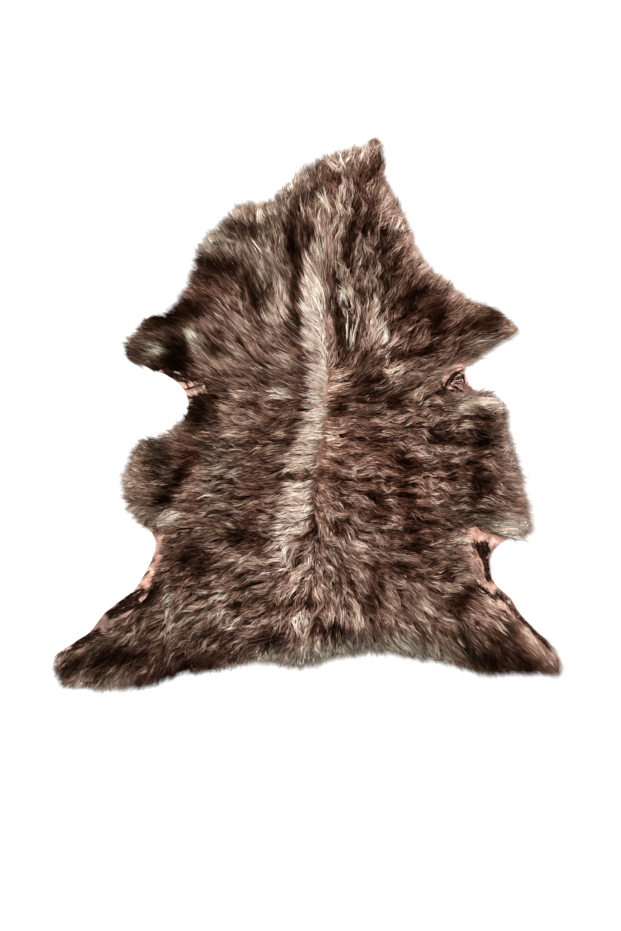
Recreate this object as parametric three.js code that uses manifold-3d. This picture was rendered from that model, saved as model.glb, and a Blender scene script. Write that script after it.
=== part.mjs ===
// A sheepskin laid flat on its skin side, wool up.
// Millimetres, +Z up, +Y towards the neck, +X to the right as it is seen from above.
// The tables give places from a point on the back, between the shoulders and the hips.

import * as THREE from 'three';
import { mergeVertices } from 'three/addons/utils/BufferGeometryUtils.js';
import Module from 'manifold-3d';

// Skin and pile
const SKIN_THICKNESS = 2.5;
const PILE_HEIGHT = 29;
const RIM_PILE_HEIGHT = 8;
const RIM_RUN = 62;             // from the edge of the skin in to the full pile
const LUMP_SPACING = 34;        // between neighbouring tufts of wool
const LUMP_HEIGHT = 9;
const SWELL_SPACING = 120;      // the slow rise and fall of the skin's thick and thin wool
const SWELL_HEIGHT = 7;
const PILE_GRID = 16.5;         // between neighbouring points of the top of the pile

// Locks that stand out past the skin, all round the rim
const RIM_STEP = 18;            // between neighbouring points of the rim, one lock each
const LOCK_SIDES = 4;
const LOCK_ROOT_WIDTH = 12.5;
const LOCK_WIDTH_SPREAD = 0.25; // how much wider or narrower a lock may be, as a share of that
const LOCK_REACH_SPREAD = 0.3;  // how much longer or shorter, as a share of its reach
const LOCK_ROOT_DEPTH = 14;     // how far a lock's root is buried in the pile
const LOCK_TIP_WIDTH = 3;
const LOCK_TIP_THICKNESS = 1.6;
const LOCK_LEAST_REACH = 3;     // a shorter stretch is bare skin or a trimmed edge
const LOCK_SWAY = 0.5;          // how unevenly the locks lie, as a share of their reach
const LOCK_CLEARANCE = 11;      // between the skin ends of neighbouring locks, where the rim turns tightly
const LOCK_SECTIONS = [
  { along: 0, width: 1.0, base: 3.2, thickness: 8.5 },
  { along: 0.6, width: 0.62, base: 1.0, thickness: 6.0 },
  { along: 1, width: LOCK_TIP_WIDTH / LOCK_ROOT_WIDTH, base: 0, thickness: LOCK_TIP_THICKNESS },
];

// The outline seen from above, clockwise from the crown of the neck.
// x, y: where the tips of the wool end. reach: how far they stand out past the edge of the skin.
const CROWN = [
  { x: 98, y: 476, reach: 8 },
  { x: 108, y: 491, reach: 5 },
  { x: 127, y: 499, reach: 5 },
  { x: 137, y: 478, reach: 5 },
  { x: 132, y: 448, reach: 5 },
];
const NECK_RIGHT = [
  { x: 142, y: 420, reach: 7 },
  { x: 172, y: 370, reach: 8 },
  { x: 199, y: 305, reach: 9 },
  { x: 218, y: 273, reach: 10 },
  { x: 246, y: 244, reach: 12 },
  { x: 302, y: 201, reach: 10 },
];
const FORELEG_RIGHT = [
  { x: 338, y: 195, reach: 8 },
  { x: 355, y: 177, reach: 5 },
  { x: 383, y: 144, reach: 5 },
  { x: 342, y: 118, reach: 8 },
  { x: 289, y: 83, reach: 5 },
];
const ARMPIT_RIGHT = [
  { x: 284, y: 70, reach: 0 },
  { x: 301, y: 41, reach: 1 },
];
const FLANK_RIGHT = [
  { x: 330, y: 33, reach: 8 },
  { x: 361, y: 23, reach: 10 },
  { x: 365, y: -20, reach: 10 },
  { x: 386, y: -102, reach: 12 },
  { x: 401, y: -168, reach: 12 },
  { x: 411, y: -219, reach: 12 },
  { x: 358, y: -233, reach: 5 },
];
const GROIN_RIGHT = [
  { x: 338, y: -244, reach: 0 },
  { x: 327, y: -274, reach: 0 },
  { x: 341, y: -312, reach: 0 },
];
const HIND_LEG_RIGHT = [
  { x: 366, y: -331, reach: 1 },
  { x: 390, y: -365, reach: 4 },
  { x: 428, y: -399, reach: 6 },
  { x: 458, y: -444, reach: 8 },
  { x: 455, y: -472, reach: 8 },
  { x: 390, y: -471, reach: 8 },
  { x: 326, y: -474, reach: 8 },
];
const RUMP = [
  { x: 254, y: -456, reach: 9 },
  { x: 170, y: -442, reach: 10 },
  { x: 112, y: -434, reach: 10 },
  { x: 60, y: -446, reach: 10 },
  { x: -10, y: -459, reach: 10 },
  { x: -100, y: -454, reach: 10 },
  { x: -160, y: -466, reach: 9 },
  { x: -212, y: -471, reach: 8 },
  { x: -262, y: -487, reach: 10 },
];
const HIND_LEG_LEFT = [
  { x: -292, y: -498, reach: 10 },
  { x: -384, y: -500, reach: 10 },
  { x: -404, y: -494, reach: 7 },
  { x: -432, y: -495, reach: 8 },
  { x: -458, y: -462, reach: 8 },
  { x: -448, y: -430, reach: 5 },
  { x: -396, y: -396, reach: 4 },
  { x: -364, y: -357, reach: 3 },
];
const GROIN_LEFT = [
  { x: -316, y: -326, reach: 0 },
  { x: -290, y: -288, reach: 0 },
  { x: -271, y: -232, reach: 0 },
];
const FLANK_LEFT = [
  { x: -300, y: -206, reach: 11 },
  { x: -328, y: -168, reach: 14 },
  { x: -333, y: -115, reach: 14 },
  { x: -316, y: -68, reach: 12 },
  { x: -294, y: -41, reach: 10 },
  { x: -262, y: -43, reach: 8 },
  { x: -234, y: -18, reach: 9 },
  { x: -217, y: 4, reach: 5 },
];
const ARMPIT_LEFT = [
  { x: -214, y: 28, reach: 0 },
  { x: -240, y: 61, reach: 0 },
];
const FORELEG_LEFT = [
  { x: -284, y: 76, reach: 4 },
  { x: -327, y: 97, reach: 4 },
  { x: -330, y: 122, reach: 9 },
  { x: -304, y: 152, reach: 6 },
  { x: -286, y: 179, reach: 5 },
];
const NECK_LEFT = [
  { x: -258, y: 178, reach: 8 },
  { x: -230, y: 207, reach: 12 },
  { x: -207, y: 268, reach: 14 },
  { x: -196, y: 303, reach: 14 },
  { x: -158, y: 346, reach: 14 },
  { x: -116, y: 379, reach: 14 },
  { x: -70, y: 387, reach: 14 },
  { x: -10, y: 437, reach: 14 },
  { x: 32, y: 464, reach: 14 },
  { x: 82, y: 482, reach: 14 },
];
const OUTLINE = [
  ...CROWN, ...NECK_RIGHT, ...FORELEG_RIGHT, ...ARMPIT_RIGHT, ...FLANK_RIGHT, ...GROIN_RIGHT,
  ...HIND_LEG_RIGHT, ...RUMP, ...HIND_LEG_LEFT, ...GROIN_LEFT, ...FLANK_LEFT, ...ARMPIT_LEFT,
  ...FORELEG_LEFT, ...NECK_LEFT,
];

// Bare skin, where the wool gives out under the legs. long, wide: half its length and width. turn: degrees.
const BARE_PATCHES = [
  { name: 'left armpit', x: -224, y: 46, long: 30, wide: 16, turn: -35 },
  { name: 'right armpit', x: 280, y: 58, long: 34, wide: 20, turn: -20 },
  { name: 'left groin', x: -278, y: -262, long: 52, wide: 18, turn: 72 },
  { name: 'left shank', x: -345, y: -360, long: 62, wide: 15, turn: 38 },
  { name: 'right groin', x: 318, y: -232, long: 38, wide: 22, turn: -30 },
  { name: 'right thigh', x: 316, y: -284, long: 44, wide: 22, turn: -75 },
  { name: 'right shank', x: 360, y: -340, long: 62, wide: 15, turn: -40 },
];
const BARE_FADE = 26;           // from the bare skin out to the full pile
const WOOLLY_SHARE = 0.5;       // less wool than this at the edge carries no lock

// Furrows where the wool parts: from one end to the other, how wide and how deep.
const FURROWS = [
  { name: 'beside the spine', x0: -20, y0: 365, x1: -28, y1: 190, width: 30, depth: 10 },
  { name: 'parting on the spine', x0: 34, y0: 230, x1: 30, y1: -60, width: 34, depth: 6 },
  { name: 'right of the withers', x0: 52, y0: 230, x1: 80, y1: 105, width: 30, depth: 10 },
  { name: 'across the neck', x0: 78, y0: 326, x1: 184, y1: 322, width: 30, depth: 11 },
  { name: 'down the right shoulder', x0: 155, y0: 290, x1: 136, y1: 236, width: 32, depth: 9 },
  { name: 'under the right shoulder', x0: 175, y0: 205, x1: 250, y1: 180, width: 34, depth: 9 },
  { name: 'behind the withers', x0: 52, y0: 12, x1: 175, y1: 12, width: 34, depth: 10 },
  { name: 'down the right flank', x0: 178, y0: -78, x1: 192, y1: -168, width: 30, depth: 9 },
  { name: 'root of the right flap', x0: 318, y0: -35, x1: 306, y1: -170, width: 34, depth: 12 },
  { name: 'right haunch', x0: 240, y0: -330, x1: 292, y1: -318, width: 32, depth: 9 },
  { name: 'right hind leg', x0: 272, y0: -385, x1: 312, y1: -445, width: 34, depth: 8 },
  { name: 'over the tail', x0: 22, y0: -382, x1: 66, y1: -404, width: 30, depth: 9 },
  { name: 'left hind leg', x0: -372, y0: -440, x1: -250, y1: -432, width: 34, depth: 8 },
  { name: 'root of the left flap', x0: -272, y0: -162, x1: -208, y1: -96, width: 34, depth: 13 },
  { name: 'left side', x0: -205, y0: 24, x1: -204, y1: -34, width: 34, depth: 9 },
  { name: 'left shoulder', x0: -262, y0: 166, x1: -188, y1: 160, width: 34, depth: 9 },
  { name: 'left side of the neck', x0: -112, y0: 240, x1: -88, y1: 196, width: 30, depth: 8 },
];

const WOOL_COLOUR = 0x6b5249;
const WOOL_ROUGHNESS = 0.95;

const wasm = await Module();
wasm.setup();

// A number from 0 to 1 that is always the same for the same pair
function chance(i, j) {
  const wave = Math.sin(i * 127.1 + j * 311.7) * 43758.5453;
  return wave - Math.floor(wave);
}

// Smooth bumps between -1 and 1, about one spacing apart
function bumps(x, y, spacing) {
  const i = Math.floor(x / spacing);
  const j = Math.floor(y / spacing);
  const u = THREE.MathUtils.smoothstep(x / spacing - i, 0, 1);
  const v = THREE.MathUtils.smoothstep(y / spacing - j, 0, 1);
  const low = THREE.MathUtils.lerp(chance(i, j), chance(i + 1, j), u);
  const high = THREE.MathUtils.lerp(chance(i, j + 1), chance(i + 1, j + 1), u);
  return THREE.MathUtils.lerp(low, high, v) * 2 - 1;
}

// The distance in the plane from a point to a stretch between two ends
function distanceToStretch(x, y, x0, y0, x1, y1) {
  const run = (x1 - x0) ** 2 + (y1 - y0) ** 2;
  const share = THREE.MathUtils.clamp(((x - x0) * (x1 - x0) + (y - y0) * (y1 - y0)) / run, 0, 1);
  return Math.hypot(x - x0 - share * (x1 - x0), y - y0 - share * (y1 - y0));
}

// The rim: one row for each lock, with the wool's tip, the skin's edge and the way out between them
function layOutRim() {
  const places = OUTLINE.map((row) => new THREE.Vector3(row.x, row.y, row.reach));
  const curve = new THREE.CatmullRomCurve3(places, true, 'centripetal');
  const count = Math.round(curve.getLength() / RIM_STEP);
  const tips = curve.getSpacedPoints(count).slice(0, count);
  return tips.map((tip, index) => {
    const before = tips[(index + count - 1) % count];
    const after = tips[(index + 1) % count];
    const along = new THREE.Vector2(after.x - before.x, after.y - before.y).normalize();
    const out = new THREE.Vector2(-along.y, along.x);
    const reach = Math.max(tip.z, 0);
    const edge = new THREE.Vector2(tip.x - out.x * reach, tip.y - out.y * reach);
    return { tip: new THREE.Vector2(tip.x, tip.y), edge, out, along, reach };
  });
}

// How far a point lies inside the edge of the skin: nothing outside it
function distanceInside(x, y, rim) {
  let least = Infinity;
  let inside = false;
  rim.forEach((row, index) => {
    const here = row.edge;
    const next = rim[(index + 1) % rim.length].edge;
    least = Math.min(least, distanceToStretch(x, y, here.x, here.y, next.x, next.y));
    const crosses = (here.y > y) !== (next.y > y);
    if (crosses && x < here.x + (next.x - here.x) * (y - here.y) / (next.y - here.y)) {
      inside = !inside;
    }
  });
  return inside ? least : 0;
}

// How much wool grows at a point: none on a bare patch, all of it away from one
function woolShare(x, y) {
  return BARE_PATCHES.reduce((share, patch) => {
    const place = new THREE.Vector2(x - patch.x, y - patch.y);
    place.rotateAround(new THREE.Vector2(), -THREE.MathUtils.degToRad(patch.turn));
    const spread = Math.hypot(place.x / patch.long, place.y / patch.wide);
    const past = (spread - 1) * patch.wide;
    return Math.min(share, THREE.MathUtils.smoothstep(past, 0, BARE_FADE));
  }, 1);
}

function furrowDepth(x, y) {
  return FURROWS.reduce((deepest, row) => {
    const off = distanceToStretch(x, y, row.x0, row.y0, row.x1, row.y1);
    const share = 1 - THREE.MathUtils.smoothstep(off, 0, row.width);
    return Math.max(deepest, row.depth * share);
  }, 0);
}

function pileTop(x, y, rim) {
  const inward = Math.min(distanceInside(x, y, rim) / RIM_RUN, 1);
  const crown = Math.sin(inward * Math.PI / 2);
  const full = THREE.MathUtils.lerp(RIM_PILE_HEIGHT, PILE_HEIGHT, crown);
  const lumps = bumps(x, y, LUMP_SPACING) * LUMP_HEIGHT / 2;
  const swells = bumps(x, y, SWELL_SPACING) * SWELL_HEIGHT / 2;
  const wool = full + (lumps + swells - furrowDepth(x, y)) * crown;
  return SKIN_THICKNESS + wool * woolShare(x, y);
}

function toSolid(geometry) {
  geometry.deleteAttribute('normal');
  geometry.deleteAttribute('uv');
  const merged = mergeVertices(geometry);
  const vertProperties = new Float32Array(merged.attributes.position.array);
  const triVerts = new Uint32Array(merged.index.array);
  return new wasm.Manifold(new wasm.Mesh({ numProp: 3, vertProperties, triVerts }));
}

function toGeometry(solid) {
  const mesh = solid.getMesh();
  const geometry = new THREE.BufferGeometry();
  geometry.setAttribute('position', new THREE.BufferAttribute(new Float32Array(mesh.vertProperties), 3));
  geometry.setIndex(new THREE.BufferAttribute(new Uint32Array(mesh.triVerts), 1));
  geometry.computeVertexNormals();
  return geometry;
}

// The skin and the pile on it: the outline's prism under the lumpy top of a wide block
function buildPile(rim) {
  const tallest = SKIN_THICKNESS + PILE_HEIGHT + LUMP_HEIGHT + SWELL_HEIGHT;
  const outline = new THREE.Shape(rim.map((row) => row.edge));
  const prism = new THREE.ExtrudeGeometry(outline, { depth: tallest, bevelEnabled: false });
  const box = new THREE.Box2().setFromPoints(rim.map((row) => row.tip));
  const size = box.getSize(new THREE.Vector2());
  const middle = box.getCenter(new THREE.Vector2());
  const steps = { x: Math.round(size.x / PILE_GRID), y: Math.round(size.y / PILE_GRID) };
  const block = new THREE.BoxGeometry(size.x, size.y, tallest, steps.x, steps.y, 1);
  block.translate(middle.x, middle.y, 0);
  const points = block.attributes.position;
  for (let index = 0; index < points.count; index += 1) {
    if (points.getZ(index) > 0) {
      points.setZ(index, pileTop(points.getX(index), points.getY(index), rim));
    }
  }
  return toSolid(prism).intersect(toSolid(block));
}

// The rows of the rim that carry a lock, each clear of the one before
function woollyRows(rim) {
  const kept = [];
  rim.forEach((row) => {
    const woolly = row.reach > LOCK_LEAST_REACH && woolShare(row.edge.x, row.edge.y) > WOOLLY_SHARE;
    const clear = kept.every((other) => other.edge.distanceTo(row.edge) > LOCK_CLEARANCE);
    if (woolly && clear) {
      kept.push(row);
    }
  });
  return kept;
}

// One lock: flat-bottomed sections from its root in the pile down to a tip that rests on the floor
function buildLock(row, index) {
  const sway = (chance(index, 1) * 2 - 1) * LOCK_SWAY * row.reach;
  const stretch = 1 + (chance(index, 2) * 2 - 1) * LOCK_REACH_SPREAD;
  const breadth = LOCK_ROOT_WIDTH * (1 + (chance(index, 3) * 2 - 1) * LOCK_WIDTH_SPREAD);
  const root = row.edge.clone().addScaledVector(row.out, -LOCK_ROOT_DEPTH);
  const tip = row.edge.clone().addScaledVector(row.out, row.reach * stretch);
  tip.addScaledVector(row.along, sway);
  const lock = new THREE.CylinderGeometry(
    Math.SQRT1_2, Math.SQRT1_2, 1, LOCK_SIDES, LOCK_SECTIONS.length - 1, false, Math.PI / LOCK_SIDES);
  const points = lock.attributes.position;
  for (let corner = 0; corner < points.count; corner += 1) {
    const section = LOCK_SECTIONS[Math.round((points.getY(corner) + 0.5) * (LOCK_SECTIONS.length - 1))];
    const place = root.clone().lerp(tip, section.along);
    place.addScaledVector(row.along, points.getX(corner) * section.width * breadth);
    const height = section.base + (points.getZ(corner) + 0.5) * section.thickness;
    points.setXYZ(corner, place.x, place.y, height);
  }
  return toSolid(lock);
}

function buildSheepskin() {
  const rim = layOutRim();
  const locks = woollyRows(rim).map((row, index) => buildLock(row, index));
  const solid = wasm.Manifold.union([buildPile(rim), ...locks]);
  const finish = { color: WOOL_COLOUR, roughness: WOOL_ROUGHNESS, metalness: 0 };
  const mesh = new THREE.Mesh(toGeometry(solid), new THREE.MeshStandardMaterial(finish));
  mesh.name = 'sheepskin';
  return mesh;
}

// The middle of the underside's box is the origin
const sheepskin = buildSheepskin();
const bounds = new THREE.Box3().setFromObject(sheepskin);
const centre = bounds.getCenter(new THREE.Vector3());
sheepskin.position.set(-centre.x, -centre.y, -bounds.min.z);

const pelt = new THREE.Group();
pelt.add(sheepskin);

export default pelt;
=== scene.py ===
# %% [markdown]
# # A brown sheepskin
#
# The real thing is one piece: a tanned skin, about 2.5 mm thick, with the wool still growing on it.
# It lies flat on the floor, wool up, and is seen from straight above.
# In this lesson the solid model gives the outline and the lumps of the pile.
# We then make the three things that a solid can't show: the skin, the matted undercoat, and the wool.

# %% Load the frame
import math
from collections import namedtuple

import bpy
import numpy as np
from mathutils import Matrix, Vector
from mathutils.bvhtree import BVHTree
from mathutils.kdtree import KDTree


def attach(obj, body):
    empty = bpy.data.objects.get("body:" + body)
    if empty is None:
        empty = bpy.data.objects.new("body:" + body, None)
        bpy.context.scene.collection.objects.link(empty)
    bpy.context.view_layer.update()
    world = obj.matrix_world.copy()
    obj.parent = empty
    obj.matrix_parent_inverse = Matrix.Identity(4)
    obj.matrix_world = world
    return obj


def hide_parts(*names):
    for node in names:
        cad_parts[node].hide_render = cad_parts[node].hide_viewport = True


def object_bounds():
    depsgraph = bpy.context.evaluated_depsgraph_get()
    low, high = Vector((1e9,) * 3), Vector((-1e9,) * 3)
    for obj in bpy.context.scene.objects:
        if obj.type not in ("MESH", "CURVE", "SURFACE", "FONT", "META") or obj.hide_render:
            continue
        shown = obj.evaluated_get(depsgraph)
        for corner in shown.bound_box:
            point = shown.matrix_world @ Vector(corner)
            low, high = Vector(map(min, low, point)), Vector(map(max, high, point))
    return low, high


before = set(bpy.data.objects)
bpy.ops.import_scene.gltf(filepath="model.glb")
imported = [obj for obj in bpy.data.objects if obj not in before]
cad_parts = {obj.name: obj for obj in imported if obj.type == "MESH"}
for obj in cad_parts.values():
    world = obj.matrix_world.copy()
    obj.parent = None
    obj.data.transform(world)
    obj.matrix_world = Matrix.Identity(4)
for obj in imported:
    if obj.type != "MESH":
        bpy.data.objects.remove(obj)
cad_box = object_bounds()
MM = 0.001
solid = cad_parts["sheepskin"]
print("solid model, metres:", [round(x, 3) for x in cad_box[1] - cad_box[0]])

# %% [markdown]
# ## Camera
#
# The photograph looks straight down, so the camera stands high over the pelt with a long lens.
# A long lens from far away keeps the middle of the pile from looking larger than its rim.
# The frame is 621 by 931 pixels and one pixel is 1.8 mm on the floor, which gives the height of the view.

# %% Set up the camera
FRAME_PIXELS = (621, 931)
PIXEL = 1.8 * MM
BACK_PIXEL = (306.5, 412.5)
BACK = Vector((-0.15 * MM, 1.85 * MM, 0))
CAMERA_HEIGHT = 3.2
FAR_CLIP = 100


def from_back(x, y):
    """A place given in millimetres from the middle of the back, in metres in the frame."""
    return BACK.x + x * MM, BACK.y + y * MM


middle_x, middle_y = from_back(
    (FRAME_PIXELS[0] / 2 - BACK_PIXEL[0]) * PIXEL / MM,
    (BACK_PIXEL[1] - FRAME_PIXELS[1] / 2) * PIXEL / MM,
)
bpy.ops.object.select_all(action="DESELECT")
bpy.ops.object.camera_add(location=(middle_x, middle_y, CAMERA_HEIGHT), rotation=(0, 0, 0))
camera = bpy.context.object
camera.name = "camera_above"
camera.data.sensor_fit = "VERTICAL"
camera.data.lens = camera.data.sensor_height * CAMERA_HEIGHT / (FRAME_PIXELS[1] * PIXEL)
camera.data.clip_end = FAR_CLIP
bpy.context.scene.camera = camera
print("lens, mm:", round(camera.data.lens, 1))

# %% [markdown]
# ## Floor and light
#
# The pelt lies on a plain white sweep.
# One large soft lamp from the upper left gives each lock a bright and a dark side.
# A white sky fills the shadows, so the floor stays almost pure white.

# %% Lay the floor and hang the lamp
FLOOR_SIZE = 60
FLOOR_DROP = 0.4 * MM
FLOOR_WHITE = (0.93, 0.93, 0.93)
FLOOR_ROUGHNESS = 0.9
LAMP_PLACE = (-1.5, 1.3, 2.4)
LAMP_SIZE = 1.8
LAMP_WATTS = 112
SKY_STRENGTH = 0.74


def plain_material(name, colour, roughness):
    """A material of one colour, for its nodes to be added to."""
    material = bpy.data.materials.new(name)
    material.use_nodes = True
    shader = material.node_tree.nodes["Principled BSDF"]
    shader.inputs["Base Color"].default_value = (*colour, 1)
    shader.inputs["Roughness"].default_value = roughness
    return material


bpy.ops.mesh.primitive_plane_add(size=FLOOR_SIZE, location=(0, 0, -FLOOR_DROP))
floor = bpy.context.object
floor.name = "floor"
floor.data.materials.append(plain_material("white_sweep", FLOOR_WHITE, FLOOR_ROUGHNESS))

bpy.ops.object.light_add(type="AREA", location=LAMP_PLACE)
lamp = bpy.context.object
lamp.name = "soft_lamp"
lamp.data.size = LAMP_SIZE
lamp.data.energy = LAMP_WATTS
lamp.rotation_euler = (Vector((0, 0, 0)) - Vector(LAMP_PLACE)).to_track_quat("-Z", "Y").to_euler()

sky = bpy.data.worlds.new("white_sky")
sky.use_nodes = True
sky.node_tree.nodes["Background"].inputs["Color"].default_value = (1, 1, 1, 1)
sky.node_tree.nodes["Background"].inputs["Strength"].default_value = SKY_STRENGTH
bpy.context.scene.world = sky
bpy.context.scene.view_settings.view_transform = "Standard"
print("floor, lamp and sky are in place")

# %% [markdown]
# ## The skin
#
# The skin is a sheet of leather with a cut edge.
# The solid's walls go straight up from the floor by the thickness of the skin.
# So a thin slice off its underside has the skin's outline, and raising the slice's top makes the sheet.
# The locks at the rim only touch that slice with their tips, which fall away as loose bits.

# %% Cut the skin out of a copy of the solid
SKIN_THICKNESS = 2.5 * MM
SLICE = 0.25 * MM
MERGE = 0.001 * MM


def copy_of_solid(name):
    """A copy of the solid with its own mesh and with its loose triangles merged."""
    bpy.ops.object.select_all(action="DESELECT")
    piece = bpy.data.objects.new(name, solid.data.copy())
    bpy.context.scene.collection.objects.link(piece)
    piece.select_set(True)
    bpy.context.view_layer.objects.active = piece
    bpy.ops.object.mode_set(mode="EDIT")
    bpy.ops.mesh.select_all(action="SELECT")
    bpy.ops.mesh.remove_doubles(threshold=MERGE)
    bpy.ops.object.mode_set(mode="OBJECT")
    return piece


skin = copy_of_solid("skin")
bpy.ops.object.mode_set(mode="EDIT")
bpy.ops.mesh.select_all(action="SELECT")
bpy.ops.mesh.bisect(plane_co=(0, 0, SLICE), plane_no=(0, 0, 1), clear_outer=True)
bpy.ops.mesh.select_all(action="SELECT")
bpy.ops.mesh.separate(type="LOOSE")
bpy.ops.object.mode_set(mode="OBJECT")
slices = sorted(bpy.context.selected_objects, key=lambda piece: len(piece.data.vertices))
skin = slices[-1]
for bit in slices[:-1]:
    bpy.data.objects.remove(bit)
skin.name = "skin"
print("skin slice:", len(skin.data.vertices), "corners;", len(slices) - 1, "lock tips dropped")

# %% Close the slice and raise its top
bpy.ops.object.select_all(action="DESELECT")
skin.select_set(True)
bpy.context.view_layer.objects.active = skin
bpy.ops.object.mode_set(mode="EDIT")
bpy.ops.mesh.select_mode(type="EDGE")
bpy.ops.mesh.select_all(action="DESELECT")
bpy.ops.mesh.select_non_manifold()
bpy.ops.mesh.edge_face_add()
bpy.ops.mesh.select_all(action="SELECT")
bpy.ops.mesh.normals_make_consistent(inside=False)
bpy.ops.mesh.select_mode(type="VERT")
bpy.ops.object.mode_set(mode="OBJECT")
top_face = max(skin.data.polygons, key=lambda face: len(face.vertices))
edge = np.array([skin.data.vertices[i].co.xy for i in top_face.vertices])
for vertex in skin.data.vertices:
    if vertex.co.z > SLICE / 2:
        vertex.co.z = SKIN_THICKNESS
print("skin edge:", len(edge), "points")

# %% [markdown]
# ## Charts of the pelt
#
# Each lock of wool has to know where it stands: how high the pile is there, and how far in from the edge.
# We read both once, on a grid of points, by dropping rays on the solid and by measuring to the skin's edge.
# After that a lock only looks up its place on the chart.

# %% Lay out the charts
CHART_STEP = 4 * MM
CHART_MARGIN = 40 * MM
BEFORE_LAST = 1.001
chart_x = np.arange(cad_box[0].x - CHART_MARGIN, cad_box[1].x + CHART_MARGIN, CHART_STEP)
chart_y = np.arange(cad_box[0].y - CHART_MARGIN, cad_box[1].y + CHART_MARGIN, CHART_STEP)
grid_x, grid_y = np.meshgrid(chart_x, chart_y, indexing="ij")


def look_up(chart, x, y):
    """Read a chart at many places, blending its four nearest points."""
    u = np.clip((x - chart_x[0]) / CHART_STEP, 0, len(chart_x) - BEFORE_LAST)
    v = np.clip((y - chart_y[0]) / CHART_STEP, 0, len(chart_y) - BEFORE_LAST)
    i, j = u.astype(int), v.astype(int)
    u, v = u - i, v - j
    low = chart[i, j] * (1 - u) + chart[i + 1, j] * u
    high = chart[i, j + 1] * (1 - u) + chart[i + 1, j + 1] * u
    return low * (1 - v) + high * v


def smooth_step(value, low, high):
    """Nothing below the low value, one above the high one, and a soft rise between them."""
    share = np.clip((value - low) / (high - low), 0, 1)
    return share * share * (3 - 2 * share)


print("points on a chart:", len(chart_x), "by", len(chart_y))


# %% Chart the distance to the edge
def to_segment(ax, ay, bx, by):
    """How far each place lies from a line between two points, and how far along the line it is nearest."""
    run = (bx - ax) ** 2 + (by - ay) ** 2
    share = np.clip(((grid_x - ax) * (bx - ax) + (grid_y - ay) * (by - ay)) / run, 0, 1)
    away = np.hypot(grid_x - ax - share * (bx - ax), grid_y - ay - share * (by - ay))
    return away, share


def chart_inside():
    """Metres in from the skin's edge, below nothing outside it."""
    least = np.full(grid_x.shape, np.inf)
    inside = np.zeros(grid_x.shape, bool)
    for (ax, ay), (bx, by) in zip(edge, np.roll(edge, -1, axis=0)):
        least = np.minimum(least, to_segment(ax, ay, bx, by)[0])
        if ay != by:
            crossing = ax + (bx - ax) * (grid_y - ay) / (by - ay)
            inside ^= ((ay > grid_y) != (by > grid_y)) & (grid_x < crossing)
    return np.where(inside, least, -least)


inside_chart = chart_inside()
print("furthest in from the edge, mm:", round(inside_chart.max() / MM))

# %% Chart the height of the pile
RIM_TOP = 9.5 * MM
RIM_FALL = 15 * MM
FLOOR_CLEAR = 1.2 * MM


def chart_top():
    """Metres from the floor to the top of the solid, nothing outside it."""
    tree = BVHTree.FromObject(solid, bpy.context.evaluated_depsgraph_get())
    heights = np.zeros(grid_x.shape)
    for index in np.ndindex(grid_x.shape):
        hit = tree.ray_cast(Vector((grid_x[index], grid_y[index], 1)), Vector((0, 0, -1)))[0]
        heights[index] = hit.z if hit else 0
    return heights


solid_top = chart_top()
outside_top = RIM_TOP * np.clip(1 + inside_chart / RIM_FALL, 0, 1) + FLOOR_CLEAR
top_chart = np.where(inside_chart > 0, solid_top, np.maximum(outside_top, FLOOR_CLEAR))
print("pile top, mm:", round(solid_top.max() / MM, 1))

# %% [markdown]
# In the armpits the wool has rubbed off and the skin shows.
# Each row is one such spot: where it is, how long and wide, and how it is turned.
# An ellipse with a soft edge is enough, because the wool around it and the hairs on it hide its shape.

# %% Clear the bare spots
Spot = namedtuple("Spot", "x y long wide turn")
SPOTS = [Spot(-205, 50, 29, 15, -8), Spot(268, 58, 31, 21, 25)]
BARE_EDGE = 0.75, 1.15
THIN_EDGE = 1.05, 1.6


def ellipse(spot):
    """How far each place lies from a spot's middle: one at the spot's edge."""
    x, y = from_back(spot.x, spot.y)
    turn = math.radians(spot.turn)
    along = (grid_x - x) * math.cos(turn) + (grid_y - y) * math.sin(turn)
    across = (grid_y - y) * math.cos(turn) - (grid_x - x) * math.sin(turn)
    return np.hypot(along / (spot.long * MM), across / (spot.wide * MM))


spot_away = np.min([ellipse(spot) for spot in SPOTS], axis=0)
bare_chart = 1 - smooth_step(spot_away, *BARE_EDGE)
thin_chart = 1 - smooth_step(spot_away, *THIN_EDGE)
top_chart = top_chart + (SKIN_THICKNESS - top_chart) * bare_chart * (inside_chart > 0)
print("bare spots:", len(SPOTS))

# %% [markdown]
# ## How far the wool hangs over
#
# At the rim the wool stands out past the skin by a different amount all round, and not at all on bare skin.
# The solid's rim locks already say how far: we collect their tips and measure each one to the skin's edge.

# %% Collect the tips of the rim locks
TIP_HEIGHT = 0.3 * MM
TIP_LEAST = 1.0 * MM
TIP_NEAR = 24 * MM
FADE_START, FADE_LEAST = 1.6, 0.08


def corners_of(piece):
    """All the corners of a piece's mesh, one a row."""
    corners = np.empty(len(piece.data.vertices) * 3)
    piece.data.vertices.foreach_get("co", corners)
    return corners.reshape(-1, 3)


def tree_of(x, y):
    """A tree that quickly finds the nearest of many places."""
    tree = KDTree(len(x))
    for index in range(len(x)):
        tree.insert((x[index], y[index], 0), index)
    tree.balance()
    return tree


corners = corners_of(solid)
overhang = -look_up(inside_chart, corners[:, 0], corners[:, 1])
is_tip = (corners[:, 2] < TIP_HEIGHT) & (overhang > TIP_LEAST)
tip_reach = overhang[is_tip]
tip_tree = tree_of(*corners[is_tip, :2].T)


def reach_at(x, y):
    """How far the wool may hang past the skin's edge near each place."""
    reach = np.empty(len(x))
    for index in range(len(x)):
        _, nearest, away = tip_tree.find((x[index], y[index], 0))
        fade = np.clip(FADE_START - away / TIP_NEAR, FADE_LEAST, 1)
        reach[index] = tip_reach[nearest] * fade
    return reach


print("rim lock tips:", len(tip_reach), "reach, mm:", round(tip_reach.mean() / MM, 1))

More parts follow.
